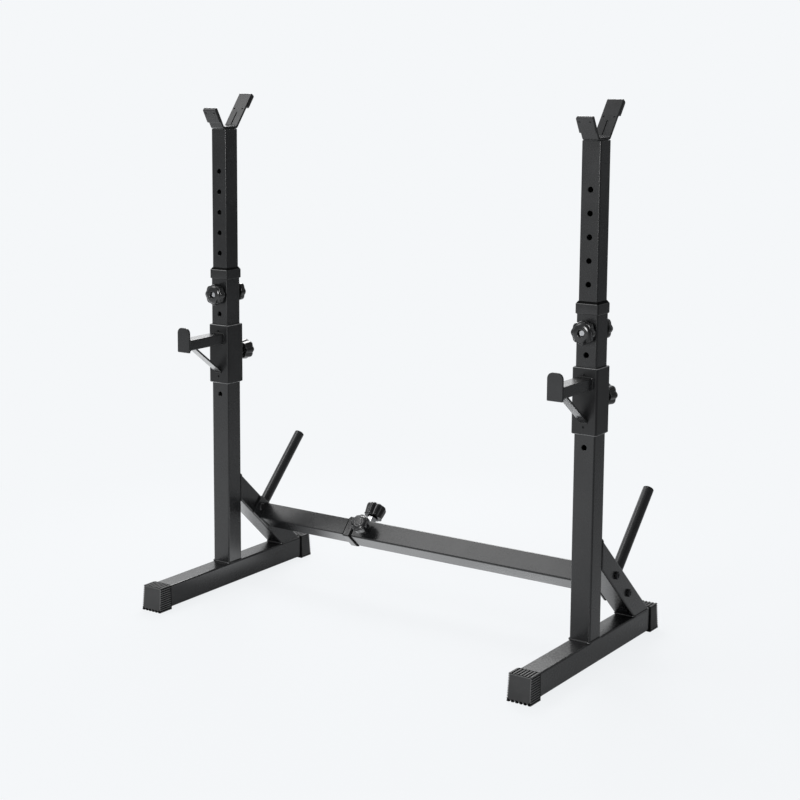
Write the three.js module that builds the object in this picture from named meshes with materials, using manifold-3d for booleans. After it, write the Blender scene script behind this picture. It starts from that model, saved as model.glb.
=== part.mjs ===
// Adjustable squat stand: two square posts on long feet, joined by a telescoping crossbar.
// Millimetres, +Z up. The right-hand stand is at +X, the hooks point to the front, -Y.
// The origin is on the floor, in the middle between the two stands and of their feet.
import * as THREE from "three";
import { mergeVertices } from "three/addons/utils/BufferGeometryUtils.js";
import Module from "manifold-3d";

const wasm = await Module();
wasm.setup();

// Whole stand
const standSpacing = 1000; // between the centres of the two posts
const postSetback = 12.5; // the posts stand this far in front of the middle of the feet
const seam = 0.3; // between pieces that touch
const slideGap = 0.5; // on each side of a tube that slides in another
const overrun = 4; // how far a cut runs past what it cuts
const holePitch = 50; // of every row of locking holes
const holeBore = 12;

// Feet and their rubber end caps
const footLength = 606; // over the end caps
const footWidth = 50;
const footHeight = 53;
const footWall = 2;
const footCorner = 4;
const capLength = 42;
const capEnd = 7.5; // thickness of the end of a cap at the floor
const capLean = 5; // how far the top of that end leans back
const capSole = 4; // rubber under the foot tube
const capTop = 2.4;
const capSide = 1.2;
const capFlare = 1.2; // how much wider each side is at the floor
const capCorner = 5;

// Outer posts
const postSide = 50;
const postWall = 2;
const postCorner = 4;
const postLength = 740;
const lockDrop = 61; // locking pin below the top end of the outer post
const postHoleCount = 5; // open holes under the locking pin, front and back

// Guide collars at the ends of the outer tubes
const collarSide = 55;
const collarLength = 27;
const collarLip = 3;
const collarCorner = 5;
const collarShoulder = 4; // how far the open end is drawn in on each side
const collarShoulderHeight = 4.8;

// Inner posts
const innerSide = 45;
const innerWall = 2;
const innerCorner = 3;
const innerLength = 766;
const innerHoleCount = 12;
const holesAboveLock = 6; // pitches from the locking pin up to the highest hole
const topHoleDrop = 102; // highest hole below the top of the inner post

// Bar catches: a bent steel strip with a plastic liner
const catchWidth = 38;
const catchSteel = 3;
const catchFront = 26; // from the middle of the post to the front bend
const catchRear = 25.5;
const frontRise = 45;
const rearRise = 77;
const frontLean = THREE.MathUtils.degToRad(60); // of the arms, up from level
const rearLean = THREE.MathUtils.degToRad(52.5);
const steelBend = 8;
const linerThickness = 2.5;
const linerLeg = 36; // down the outside of each arm
const linerFrontLeg = 4.3; // thickness of the leg on the front arm
const linerRearLeg = 6.5;
const linerTipRound = 3.5;
const linerBend = 12;
const linerTipBend = 2.6;
const linerSlotWidth = 4;
const linerSlotLength = 38;
const linerSlotStart = 5; // above the rear bend

// Braces from the posts down to the feet
const braceSide = 50;
const braceWall = 2;
const braceCorner = 4;
const braceSlope = THREE.MathUtils.degToRad(42);
const braceTop = 277.3; // height of its upper edge at the back of the post
const crossbarReach = 127.5; // crossbar axis behind the middle of the posts

// Round posts for spare weight plates
const plateRadius = 12.5;
const plateWall = 2;
const plateLength = 223;
const plateTilt = THREE.MathUtils.degToRad(3); // from square to the brace
const plugFlange = 3;
const plugDepth = 18;

// Safety hooks: a sleeve on the post, an arm, a front plate and a gusset
const sleeveSide = 60;
const sleeveGap = 0.8;
const sleeveCorner = 5;
const sleeveHeight = 145;
const sleeveBelowPin = 71.5;
const hookHole = 3; // which post hole the hook hangs on, counted down from the top
const armWidth = 37;
const armHeight = 25;
const armWall = 2.5;
const armCorner = 3;
const armLength = 126.4;
const armDrop = 20.5; // top of the arm under the top of the sleeve
const plateWidth = 37;
const plateHeight = 60;
const plateThickness = 5;
const plateBelowArm = 5.5;
const plateCorner = 13; // at the top; the bottom corners are square
const gussetWidth = 20;
const gussetThickness = 5;
const gussetInset = 27; // behind the front plate, along the arm
const gussetDrop = 72; // down the sleeve from the underside of the arm

// Crossbar
const crossbarSide = 50;
const crossbarWall = 2;
const crossbarCorner = 4;
const crossbarOuterLength = 686; // with its flange
const crossbarInnerLength = 560; // with its flange
const crossbarPinInset = 44; // from the open end of the outer tube
const crossbarClampInset = 56;
const crossbarHolesIn = 2; // holes for narrower settings
const crossbarHolesOut = 3; // holes for wider settings
const flangeLength = 110;
const flangeThickness = 5;
const flangeCorner = 4;
const boltSpacing = 84;
const boltRadius = 5;
const boltHoleRadius = 5.5;
const hexAcross = 17; // across the flats of bolt heads and nuts
const boltHead = 6.4;
const nutHeight = 6;
const boltStub = 2; // past the nut

// Knobs and their pins and screws
const pinRadius = 5;
const pinBevel = 1.5;
const nutBossRadius = 10;
const lowBoss = 5;
const tallBoss = 11;
const starRadius = 26.2;
const starDepth = 19.5;
const starLobes = 8;
const starLobeDepth = 3;
const starBevel = 3;
const starHollowRadius = 13;
const starHollow = 9;
const starEyeRadius = 7.5; // recess round the end of the pin
const starEye = 7;
const starCap = 4; // thickness of the closed face of the crossbar's star knob
const starLift = 8; // gap under a star knob on a post
const clampRadius = 23.5; // of the smaller star knob on the crossbar
const clampLift = 20.5; // gap under it
const clampHub = 8.5; // length of the hub under it
const clampHubRadius = 9.7;
const gripRadius = 25.5;
const gripFootRadius = 23.5;
const gripDepth = 33;
const gripLobes = 8;
const gripLobeDepth = 2.4;
const gripBevel = 4;
const gripLift = 22; // gap under a tall knob
const gripCapEnd = 6; // plastic over the end of the pin
const pinInWall = 3; // how deep the drawn hook pin stays inside its sleeve

// How finely round shapes are cut
const cornerSteps = 2;
const bendSteps = 3;
const boreSides = 10;
const roundSides = 20;
const lobeSteps = 5;
const bevelSteps = 1;
const hexSides = 6;
const quarterTurn = Math.PI / 2;

// Heights and places that follow from the sizes above
const footBase = capSole + seam;
const footTop = footBase + footHeight;
const postBase = footTop + seam;
const postTop = postBase + postLength;
const lockHeight = postTop - lockDrop;
const innerTop = lockHeight + holesAboveLock * holePitch + topHoleDrop;
const hookPinHeight = lockHeight - hookHole * holePitch;
const sleeveBase = hookPinHeight - sleeveBelowPin;
const armTop = sleeveBase + sleeveHeight - armDrop;
const armBase = armTop - armHeight;
const sleeveFront = -sleeveSide / 2;
const plateBack = sleeveFront - seam - armLength - seam;
const braceRise = braceTop - braceSide / 2 / Math.cos(braceSlope);
const crossbarHeight = braceRise - (crossbarReach - postSide / 2) * Math.tan(braceSlope);
const flangeFace = standSpacing / 2 - braceSide / 2 - seam;
const crossbarEnd = flangeFace - crossbarOuterLength;
const crossbarPin = crossbarEnd + crossbarPinInset;
const crossbarClamp = crossbarEnd + crossbarClampInset;

// Finishes
const finish = (color, roughness, metalness) =>
  new THREE.MeshStandardMaterial({ color, roughness, metalness });
const blackPaint = finish(0x333436, 0.42, 0.25);
const blackPlastic = finish(0x1c1d1f, 0.38, 0);
const rubber = finish(0x2a2b2c, 0.8, 0);
const chrome = finish(0xc9cbce, 0.18, 1);
const zinc = finish(0x4a4b4e, 0.4, 0.8);

// A closed geometry as a solid that can be joined and cut, moved by a matrix on the way
function solid(geometry, matrix = new THREE.Matrix4()) {
  const plain = geometry.clone().applyMatrix4(matrix);
  plain.deleteAttribute("normal");
  plain.deleteAttribute("uv");
  const merged = mergeVertices(plain);
  const vertProperties = merged.attributes.position.array;
  const triVerts = new Uint32Array(merged.index.array);
  return new wasm.Manifold(new wasm.Mesh({ numProp: 3, vertProperties, triVerts }));
}

function geometryOf(body) {
  const { vertProperties, triVerts } = body.getMesh();
  const geometry = new THREE.BufferGeometry();
  geometry.setAttribute("position", new THREE.BufferAttribute(new Float32Array(vertProperties), 3));
  geometry.setIndex(new THREE.BufferAttribute(triVerts, 1));
  geometry.computeVertexNormals();
  return geometry;
}

function place(parent, name, body, material) {
  const mesh = new THREE.Mesh(geometryOf(body), material);
  mesh.name = name;
  parent.add(mesh);
  return mesh;
}

const moved = (x, y, z) => new THREE.Matrix4().makeTranslation(x, y, z);
const turnedX = (angle) => new THREE.Matrix4().makeRotationX(angle);
const turnedY = (angle) => new THREE.Matrix4().makeRotationY(angle);
const alongX = turnedY(quarterTurn); // takes the Z axis to +X
const alongY = turnedX(-quarterTurn); // takes the Z axis to +Y
const backwards = turnedX(quarterTurn); // takes the Z axis to -Y

function block(lowX, highX, lowY, highY, lowZ, highZ) {
  const box = new THREE.BoxGeometry(highX - lowX, highY - lowY, highZ - lowZ);
  return solid(box, moved((lowX + highX) / 2, (lowY + highY) / 2, (lowZ + highZ) / 2));
}

// A rectangle with rounded corners, centred on the origin
function roundedRectangle(path, width, height, corner) {
  const x = width / 2 - corner;
  const y = height / 2 - corner;
  path.absarc(x, y, corner, 0, quarterTurn, false);
  path.absarc(-x, y, corner, quarterTurn, 2 * quarterTurn, false);
  path.absarc(-x, -y, corner, 2 * quarterTurn, 3 * quarterTurn, false);
  path.absarc(x, -y, corner, 3 * quarterTurn, 4 * quarterTurn, false);
  path.closePath();
  return path;
}

function extruded(shape, length) {
  return new THREE.ExtrudeGeometry(shape, {
    depth: length,
    bevelEnabled: false,
    curveSegments: cornerSteps,
  });
}

// A rectangular tube from z = 0 up, open at both ends
function tube(width, height, wall, corner, length, matrix) {
  const shape = roundedRectangle(new THREE.Shape(), width, height, corner);
  const inside = [width - 2 * wall, height - 2 * wall, Math.max(corner - wall, wall / 2)];
  shape.holes.push(roundedRectangle(new THREE.Path(), ...inside));
  return solid(extruded(shape, length), matrix);
}

function bar(width, height, corner, length, matrix) {
  return solid(extruded(roundedRectangle(new THREE.Shape(), width, height, corner), length), matrix);
}

// A round bar that starts at z = 0
function rod(radius, length, matrix = new THREE.Matrix4(), sides = roundSides) {
  const geometry = new THREE.CylinderGeometry(radius, radius, length, sides);
  const upright = moved(0, 0, length / 2).multiply(turnedX(quarterTurn));
  return solid(geometry, matrix.clone().multiply(upright));
}

const bore = (radius, length, matrix) => rod(radius, length, matrix, boreSides);

// A shape drawn in the YZ plane and given a width along X, centred on x = 0
function acrossX(shape, width) {
  const axes = [new THREE.Vector3(0, 1, 0), new THREE.Vector3(0, 0, 1), new THREE.Vector3(1, 0, 0)];
  const toYZ = new THREE.Matrix4().makeBasis(...axes);
  return solid(extruded(shape, width), moved(-width / 2, 0, 0).multiply(toYZ));
}

// A strip of one thickness that follows a path in the YZ plane
function strip(path, thickness, width) {
  const sides = [1, -1].map((sign) => offsetPath(path, (sign * thickness) / 2));
  return acrossX(new THREE.Shape([...sides[0], ...sides[1].reverse()]), width);
}

// The path moved sideways, with mitred corners; a positive distance is to its left
function offsetPath(path, distance) {
  const last = path.length - 1;
  return path.map((point, i) => {
    const into = path[Math.max(i, 1)].clone().sub(path[Math.max(i, 1) - 1]).normalize();
    const from = path[Math.min(i, last - 1)];
    const out = path[Math.min(i, last - 1) + 1].clone().sub(from).normalize();
    const middle = into.clone().add(out).normalize();
    const normal = new THREE.Vector2(-middle.y, middle.x);
    const stretch = normal.x * -out.y + normal.y * out.x;
    return point.clone().addScaledVector(normal, distance / stretch);
  });
}

// The path with its inner corners rounded, each with its own radius
function filleted(path, radii) {
  const corners = path.slice(1, -1).map((corner, i) => {
    const into = corner.clone().sub(path[i]).normalize();
    const out = path[i + 2].clone().sub(corner).normalize();
    const cutBack = radii[i] * Math.tan(Math.acos(THREE.MathUtils.clamp(into.dot(out), -1, 1)) / 2);
    const start = corner.clone().addScaledVector(into, -cutBack);
    const end = corner.clone().addScaledVector(out, cutBack);
    return new THREE.QuadraticBezierCurve(start, corner, end).getPoints(bendSteps);
  });
  return [path[0], ...corners.flat(), path[path.length - 1]];
}

// Foot tube along Y and its two caps; the caps' end walls close the tube
function footTube() {
  const length = footLength - 2 * (capEnd + seam);
  const start = moved(0, -length / 2, footBase + footHeight / 2);
  return tube(footWidth, footHeight, footWall, footCorner, length, start.multiply(alongY));
}

function footCap(end) {
  const top = footTop + seam + capTop;
  const topHalf = footWidth / 2 + seam + capSide;
  const soleHalf = topHalf + capFlare;
  const shape = new THREE.Shape();
  shape.moveTo(-soleHalf, 0);
  shape.lineTo(soleHalf, 0);
  shape.lineTo(topHalf, top - capCorner);
  shape.quadraticCurveTo(topHalf, top, topHalf - capCorner, top);
  shape.lineTo(capCorner - topHalf, top);
  shape.quadraticCurveTo(-topHalf, top, -topHalf, top - capCorner);
  shape.closePath();
  const uncut = solid(extruded(shape, capLength), moved(0, footLength / 2, 0).multiply(backwards));
  const profile = new THREE.Shape([
    new THREE.Vector2(0, -overrun),
    new THREE.Vector2(footLength / 2 + (capLean * overrun) / top, -overrun),
    new THREE.Vector2(footLength / 2 - (capLean * (top + overrun)) / top, top + overrun),
    new THREE.Vector2(0, top + overrun),
  ]);
  const outer = uncut.intersect(acrossX(profile, footWidth * 2));
  const cavityStart = moved(0, footLength / 2 - capEnd, footBase + footHeight / 2);
  const cavity = bar(
    footWidth + 2 * seam,
    footHeight + 2 * seam,
    footCorner,
    capLength,
    cavityStart.multiply(backwards),
  );
  const cap = outer.subtract(cavity);
  return end > 0 ? cap : turned(cap);
}

// The same solid turned half a turn about the Z axis
function turned(body) {
  return solid(geometryOf(body), new THREE.Matrix4().makeRotationZ(2 * quarterTurn));
}

// A nut boss with its bore, standing on a face at z = 0 in the given frame
function boss(height, frame) {
  return rod(nutBossRadius, height + postWall / 2, frame.clone().multiply(moved(0, 0, -postWall / 2)));
}

function pinBore(height, wall, frame) {
  const start = frame.clone().multiply(moved(0, 0, -wall - overrun));
  return bore(pinRadius + seam, height + wall + 2 * overrun, start);
}

// Frames whose Z axis points out of the front and back faces of a square tube
const frontFace = (side, height) => moved(0, -side / 2, height).multiply(backwards);
const backFace = (side, height) => moved(0, side / 2, height).multiply(alongY);

function outerPost() {
  let post = tube(postSide, postSide, postWall, postCorner, postLength, moved(0, 0, postBase));
  for (const face of [frontFace, backFace]) {
    const lock = face(postSide, lockHeight);
    post = post.add(boss(lowBoss, lock)).subtract(pinBore(lowBoss, postWall, lock));
    for (let i = 1; i <= postHoleCount; i++) {
      const start = face(postSide, lockHeight - i * holePitch).multiply(moved(0, 0, -postWall - overrun));
      post = post.subtract(bore(holeBore / 2, postWall + 2 * overrun, start));
    }
  }
  return post;
}

// A collar that caps the end of an outer tube; its tube end is at z = 0 and it reaches down
function collar(tubeSide, slidingSide, matrix) {
  const top = seam + collarLip;
  const base = moved(0, 0, top - collarLength);
  const rim = collarSide - 2 * collarShoulder;
  const outer = wasm.Manifold.hull([
    bar(collarSide, collarSide, collarCorner, collarLength - collarShoulderHeight, base),
    bar(rim, rim, collarCorner - collarLip / 2, collarLength, base),
  ]);
  const socket = tubeSide + 2 * seam;
  const cavity = bar(socket, socket, postCorner, collarLength, moved(0, 0, seam - collarLength));
  const window = slidingSide + 2 * slideGap;
  const opening = bar(window, window, innerCorner, collarLip + 2 * overrun, moved(0, 0, -overrun));
  return solid(geometryOf(outer.subtract(cavity).subtract(opening)), matrix);
}

function innerPost() {
  const base = innerTop - innerLength;
  let post = tube(innerSide, innerSide, innerWall, innerCorner, innerLength, moved(0, 0, base));
  for (let i = 0; i < innerHoleCount; i++) {
    const height = innerTop - topHoleDrop - i * holePitch;
    const start = frontFace(innerSide, height).multiply(moved(0, 0, -innerWall - overrun));
    post = post.subtract(bore(holeBore / 2, innerWall + 2 * overrun, start));
  }
  return post;
}

// Middle line of the bent strip, from the front tip to the rear tip, above the inner post
function catchLine() {
  const level = innerTop + seam + catchSteel / 2;
  return [
    new THREE.Vector2(-catchFront - frontRise / Math.tan(frontLean), level + frontRise),
    new THREE.Vector2(-catchFront, level),
    new THREE.Vector2(catchRear, level),
    new THREE.Vector2(catchRear + rearRise / Math.tan(rearLean), level + rearRise),
  ];
}

function barCatch() {
  return strip(filleted(catchLine(), [steelBend, steelBend]), catchSteel, catchWidth);
}

// A thick leg of the liner on the outside of an arm, from just over the arm's tip; up and out are
// unit vectors along the arm and away from the V
function outsideLeg(tip, up, out, thickness) {
  const at = (along, across) => tip.clone().addScaledVector(up, along).addScaledVector(out, across);
  const near = catchSteel / 2 + seam;
  const far = near + thickness;
  const top = near + linerThickness;
  const bottom = near + linerThickness / 2 - linerLeg;
  const round = [at(top - linerTipRound, far), at(top, far), at(top, far - linerTipRound)];
  const rim = new THREE.QuadraticBezierCurve(...round).getPoints(bendSteps);
  return acrossX(new THREE.Shape([at(bottom, near), at(bottom, far), ...rim, at(top, near)]), catchWidth);
}

// The liner runs up the outside of the front arm, over its tip, through the V and back down
function catchLiner() {
  const line = catchLine();
  const away = catchSteel / 2 + seam + linerThickness / 2;
  const tips = [line[0].clone().sub(line[1]).normalize(), line[3].clone().sub(line[2]).normalize()];
  const legs = [
    outsideLeg(line[0], tips[0], new THREE.Vector2(-tips[0].y, tips[0].x), linerFrontLeg),
    outsideLeg(line[3], tips[1], new THREE.Vector2(tips[1].y, -tips[1].x), linerRearLeg),
  ];
  line[0].addScaledVector(tips[0], away);
  line[3].addScaledVector(tips[1], away);
  const inside = offsetPath(line, away);
  const outside = offsetPath(line, -away);
  const path = [
    outside[0].clone().addScaledVector(tips[0], -linerLeg),
    outside[0],
    ...inside,
    outside[3],
    outside[3].clone().addScaledVector(tips[1], -linerLeg),
  ];
  const radii = [linerTipBend, linerTipBend, linerBend, linerBend, linerTipBend, linerTipBend];
  const folded = strip(filleted(path, radii), linerThickness, catchWidth);
  const liner = legs.reduce((body, leg) => body.add(leg), folded);
  const slotMiddle = inside[2].clone().addScaledVector(tips[1], linerSlotStart + linerSlotLength / 2);
  const slotFrame = moved(0, slotMiddle.x, slotMiddle.y)
    .multiply(turnedX(rearLean))
    .multiply(moved(0, 0, -linerThickness));
  const slot = bar(linerSlotWidth, linerSlotLength, linerSlotWidth / 2, 2 * linerThickness, slotFrame);
  return liner.subtract(slot);
}

// The frame of the sloping brace: its origin on the crossbar axis, Y down the slope, Z out of
// the upper side of the brace
const slopeFrame = () => moved(0, crossbarReach, crossbarHeight).multiply(turnedX(-braceSlope));
const boltPlaces = [-boltSpacing / 2, boltSpacing / 2];

// Square tube cut off level on the foot and upright against the post, with its bolt holes
function brace() {
  const half = (crossbarReach + crossbarHeight) * 2;
  const start = slopeFrame().multiply(moved(0, -half, 0)).multiply(alongY);
  const uncut = tube(braceSide, braceSide, braceWall, braceCorner, 2 * half, start);
  const keep = block(-braceSide, braceSide, postSide / 2 + seam, 2 * half, postBase, 2 * half);
  return boltPlaces.reduce((body, y) => {
    const hole = slopeFrame().multiply(moved(-braceSide, y, 0)).multiply(alongX);
    return body.subtract(bore(boltHoleRadius, 2 * braceSide, hole));
  }, uncut.intersect(keep));
}

// Round post in a frame whose Z axis leaves the upper side of the brace
function plateTube() {
  const lean = turnedX(-plateTilt);
  const start = lean.clone().multiply(moved(0, 0, -overrun));
  const outer = rod(plateRadius, plateLength + overrun, start);
  const hollowStart = lean.clone().multiply(moved(0, 0, -2 * overrun));
  const inner = rod(plateRadius - plateWall, plateLength + 3 * overrun, hollowStart);
  const above = block(-plateLength, plateLength, -plateLength, plateLength, seam, 2 * plateLength);
  return outer.subtract(inner).intersect(above);
}

function platePlug() {
  const insideRadius = plateRadius - plateWall - seam;
  const profile = [
    new THREE.Vector2(0, -plugDepth),
    new THREE.Vector2(insideRadius, -plugDepth),
    new THREE.Vector2(insideRadius, seam),
    new THREE.Vector2(plateRadius, seam),
    new THREE.Vector2(plateRadius, seam + plugFlange / 2),
    new THREE.Vector2(plateRadius - plugFlange, seam + plugFlange),
    new THREE.Vector2(0, seam + plugFlange),
  ];
  const top = turnedX(-plateTilt).multiply(moved(0, 0, plateLength)).multiply(turnedX(quarterTurn));
  return solid(new THREE.LatheGeometry(profile, roundSides), top);
}

function hookSleeve() {
  const wall = (sleeveSide - postSide) / 2 - sleeveGap;
  const back = backFace(sleeveSide, hookPinHeight);
  return tube(sleeveSide, sleeveSide, wall, sleeveCorner, sleeveHeight, moved(0, 0, sleeveBase))
    .add(boss(tallBoss, back))
    .subtract(pinBore(tallBoss, wall, back));
}

function hookArm() {
  const start = moved(0, sleeveFront - seam, armBase + armHeight / 2).multiply(backwards);
  return tube(armWidth, armHeight, armWall, armCorner, armLength, start);
}

function hookPlate() {
  const base = armBase - plateBelowArm;
  const half = plateWidth / 2;
  const arcX = half - plateCorner;
  const arcY = plateHeight - plateCorner;
  const shape = new THREE.Shape();
  shape.moveTo(-half, 0);
  shape.lineTo(half, 0);
  shape.absarc(arcX, arcY, plateCorner, 0, quarterTurn, false);
  shape.absarc(-arcX, arcY, plateCorner, quarterTurn, 2 * quarterTurn, false);
  shape.closePath();
  return solid(extruded(shape, plateThickness), moved(0, plateBack, base).multiply(backwards));
}

// Flat strip from under the arm down to the sleeve, cut to both
function hookGusset() {
  const under = armBase - seam;
  const near = sleeveFront - seam;
  const far = plateBack + gussetInset;
  const slope = Math.atan2(gussetDrop, near - far);
  const shape = new THREE.Shape([
    new THREE.Vector2(far, under),
    new THREE.Vector2(near, under - gussetDrop),
    new THREE.Vector2(near, under - gussetDrop + gussetThickness / Math.cos(slope)),
    new THREE.Vector2(far + gussetThickness / Math.sin(slope), under),
  ]);
  return acrossX(shape, gussetWidth);
}

// Crossbar tubes lie along X in the frame of the slope, each with its bolted flange
function crossbarTube(side, wall, corner, length, sign) {
  const face = sign * flangeFace;
  const flangeStart = Math.min(face, face - sign * flangeThickness);
  const flangeFrame = moved(flangeStart, 0, 0).multiply(alongX);
  const flange = bar(braceSide, flangeLength, flangeCorner, flangeThickness, flangeFrame);
  const tubeStart = Math.min(face - (sign * flangeThickness) / 2, face - sign * length);
  const tubeFrame = moved(tubeStart, 0, 0).multiply(alongX);
  const body = tube(side, side, wall, corner, length - flangeThickness / 2, tubeFrame);
  return boltPlaces.reduce((joined, y) => {
    const hole = moved(flangeStart - overrun, y, 0).multiply(alongX);
    return joined.subtract(bore(boltHoleRadius, flangeThickness + 2 * overrun, hole));
  }, body.add(flange));
}

// Faces of the crossbar: the upper side takes the pin, the front side the clamp
const crossbarTopFace = (side, x) => moved(x, 0, side / 2);
const crossbarFrontFace = (side, x) => moved(x, -side / 2, 0).multiply(backwards);

function crossbarOuter() {
  const top = crossbarTopFace(crossbarSide, crossbarPin);
  const front = crossbarFrontFace(crossbarSide, crossbarClamp);
  return crossbarTube(crossbarSide, crossbarWall, crossbarCorner, crossbarOuterLength, 1)
    .add(boss(tallBoss, top))
    .add(boss(tallBoss, front))
    .subtract(pinBore(tallBoss, crossbarWall, top))
    .subtract(pinBore(tallBoss, crossbarWall, front));
}

function crossbarInner() {
  let body = crossbarTube(innerSide, innerWall, innerCorner, crossbarInnerLength, -1);
  for (let i = -crossbarHolesIn; i <= crossbarHolesOut; i++) {
    const top = crossbarTopFace(innerSide, crossbarPin + i * holePitch);
    const start = top.multiply(moved(0, 0, -innerWall - overrun));
    body = body.subtract(bore(holeBore / 2, innerWall + 2 * overrun, start));
  }
  return body;
}

// Hexagon bolt through flange and brace, head inwards; the sign is that of its stand
const hexRadius = hexAcross / 2 / Math.cos(Math.PI / hexSides);

function bolt(sign, y) {
  const seat = moved(sign * (flangeFace - flangeThickness - seam), y, 0);
  const inwards = seat.clone().multiply(turnedY(-sign * quarterTurn));
  const head = rod(hexRadius, boltHead, inwards, hexSides);
  const reach = seam + flangeThickness + seam + braceSide + seam + nutHeight + boltStub;
  const shank = seat.multiply(turnedY(sign * quarterTurn)).multiply(moved(0, 0, -boltHead / 2));
  return head.add(bore(boltRadius, reach + boltHead / 2, shank));
}

function nut(sign, y) {
  const seat = moved(sign * (standSpacing / 2 + braceSide / 2 + seam), y, 0);
  const start = seat.multiply(turnedY(sign * quarterTurn));
  const body = rod(hexRadius, nutHeight, start, hexSides);
  const hole = start.clone().multiply(moved(0, 0, -overrun));
  return body.subtract(bore(boltRadius + seam, nutHeight + 2 * overrun, hole));
}

// Turning profile with a bevelled nose: the pin starts at its nose and runs up to its end
function pin(length, frame) {
  const profile = [
    new THREE.Vector2(0, 0),
    new THREE.Vector2(pinRadius - pinBevel, 0),
    new THREE.Vector2(pinRadius, pinBevel),
    new THREE.Vector2(pinRadius, length - pinBevel),
    new THREE.Vector2(pinRadius - pinBevel, length),
    new THREE.Vector2(0, length),
  ];
  return solid(new THREE.LatheGeometry(profile, boreSides), frame.clone().multiply(turnedX(quarterTurn)));
}

function lobedShape(radius, depth, lobes) {
  const count = lobes * lobeSteps;
  const points = Array.from({ length: count }, (_, i) => {
    const angle = (i / count) * 4 * quarterTurn;
    const reach = radius - (depth * (1 - Math.cos(lobes * angle))) / 2;
    return new THREE.Vector2(reach * Math.cos(angle), reach * Math.sin(angle));
  });
  return new THREE.Shape(points);
}

// Lobed head from z = 0 to its depth, with both rims bevelled
function lobedHead(radius, depth, lobes, lobeDepth, bevel) {
  return new THREE.ExtrudeGeometry(lobedShape(radius, lobeDepth, lobes), {
    depth: depth - 2 * bevel,
    bevelThickness: bevel,
    bevelSize: bevel,
    bevelOffset: -bevel,
    bevelSegments: bevelSteps,
  }).translate(0, 0, bevel);
}

// Star knob: an open one is hollow below and has an eye in its face that shows its pin's end, a
// closed one stands on a hub
function starKnob(frame, radius, open) {
  const within = (z) => frame.clone().multiply(moved(0, 0, z));
  const head = solid(lobedHead(radius, starDepth, starLobes, starLobeDepth, starBevel), frame);
  if (!open) {
    const shaft = bore(pinRadius + seam, overrun + clampHub + starDepth - starCap, within(-overrun - clampHub));
    return head.add(rod(clampHubRadius, clampHub + starCap, within(-clampHub))).subtract(shaft);
  }
  return head
    .subtract(rod(starHollowRadius, starHollow + overrun, within(-overrun)))
    .subtract(bore(pinRadius + seam, starDepth + 2 * overrun, within(-overrun)))
    .subtract(rod(starEyeRadius, starEye + overrun, within(starDepth - starEye)));
}

// Tall knob, narrower at its foot, with a blind bore for its pin
function gripKnob(frame) {
  const head = lobedHead(gripRadius, gripDepth, gripLobes, gripLobeDepth, gripBevel);
  const position = head.attributes.position;
  for (let i = 0; i < position.count; i++) {
    const share = 1 - ((1 - gripFootRadius / gripRadius) * (gripDepth - position.getZ(i))) / gripDepth;
    position.setXY(i, position.getX(i) * share, position.getY(i) * share);
  }
  const start = frame.clone().multiply(moved(0, 0, -overrun));
  return solid(head, frame).subtract(bore(pinRadius + seam, gripDepth - gripCapEnd + overrun, start));
}

// A pin and its knob on a face; the nose lies at the given depth under the face
function starSet(parent, [pinName, knobName], face, nose, lift, radius, open) {
  const pinEnd = open ? pinBevel - starEye : -starCap - seam;
  const start = face.clone().multiply(moved(0, 0, -nose));
  place(parent, pinName, pin(nose + lift + starDepth + pinEnd, start), chrome);
  const seat = face.clone().multiply(moved(0, 0, lift));
  place(parent, knobName, starKnob(seat, radius, open), blackPlastic);
}

function gripSet(parent, pinName, knobName, face, nose) {
  const start = face.clone().multiply(moved(0, 0, -nose));
  place(parent, pinName, pin(nose + gripLift + gripDepth - gripCapEnd - seam, start), chrome);
  place(parent, knobName, gripKnob(face.clone().multiply(moved(0, 0, gripLift))), blackPlastic);
}

function makeStand(side, sign) {
  const stand = new THREE.Group();
  stand.position.set((sign * standSpacing) / 2, 0, 0);
  place(stand, `${side}_foot_tube`, footTube(), blackPaint);
  place(stand, `${side}_foot_cap_front`, footCap(-1), rubber);
  place(stand, `${side}_foot_cap_rear`, footCap(1), rubber);

  const post = new THREE.Group();
  post.position.y = -postSetback;
  stand.add(post);
  place(post, `${side}_outer_post`, outerPost(), blackPaint);
  place(post, `${side}_post_collar`, collar(postSide, innerSide, moved(0, 0, postTop)), blackPlastic);
  place(post, `${side}_inner_post`, innerPost(), blackPaint);
  place(post, `${side}_bar_catch`, barCatch(), blackPaint);
  place(post, `${side}_catch_liner`, catchLiner(), blackPlastic);
  place(post, `${side}_brace`, brace(), blackPaint);

  const slope = new THREE.Group();
  slope.applyMatrix4(slopeFrame().multiply(moved(0, 0, braceSide / 2)));
  post.add(slope);
  place(slope, `${side}_plate_post`, plateTube(), blackPaint);
  place(slope, `${side}_plate_post_plug`, platePlug(), blackPlastic);

  place(post, `${side}_hook_sleeve`, hookSleeve(), blackPaint);
  place(post, `${side}_hook_arm`, hookArm(), blackPaint);
  place(post, `${side}_hook_plate`, hookPlate(), blackPaint);
  place(post, `${side}_hook_gusset`, hookGusset(), blackPaint);

  const front = frontFace(postSide, lockHeight);
  const back = backFace(postSide, lockHeight);
  const sleeveBack = backFace(sleeveSide, hookPinHeight);
  const lock = [`${side}_lock_pin`, `${side}_lock_knob`];
  const clamp = [`${side}_clamp_screw`, `${side}_clamp_knob`];
  starSet(post, lock, front, postWall, starLift, starRadius, true);
  starSet(post, clamp, back, postWall, starLift, starRadius, true);
  gripSet(post, `${side}_hook_pin`, `${side}_hook_knob`, sleeveBack, pinInWall);
  return stand;
}

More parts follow.
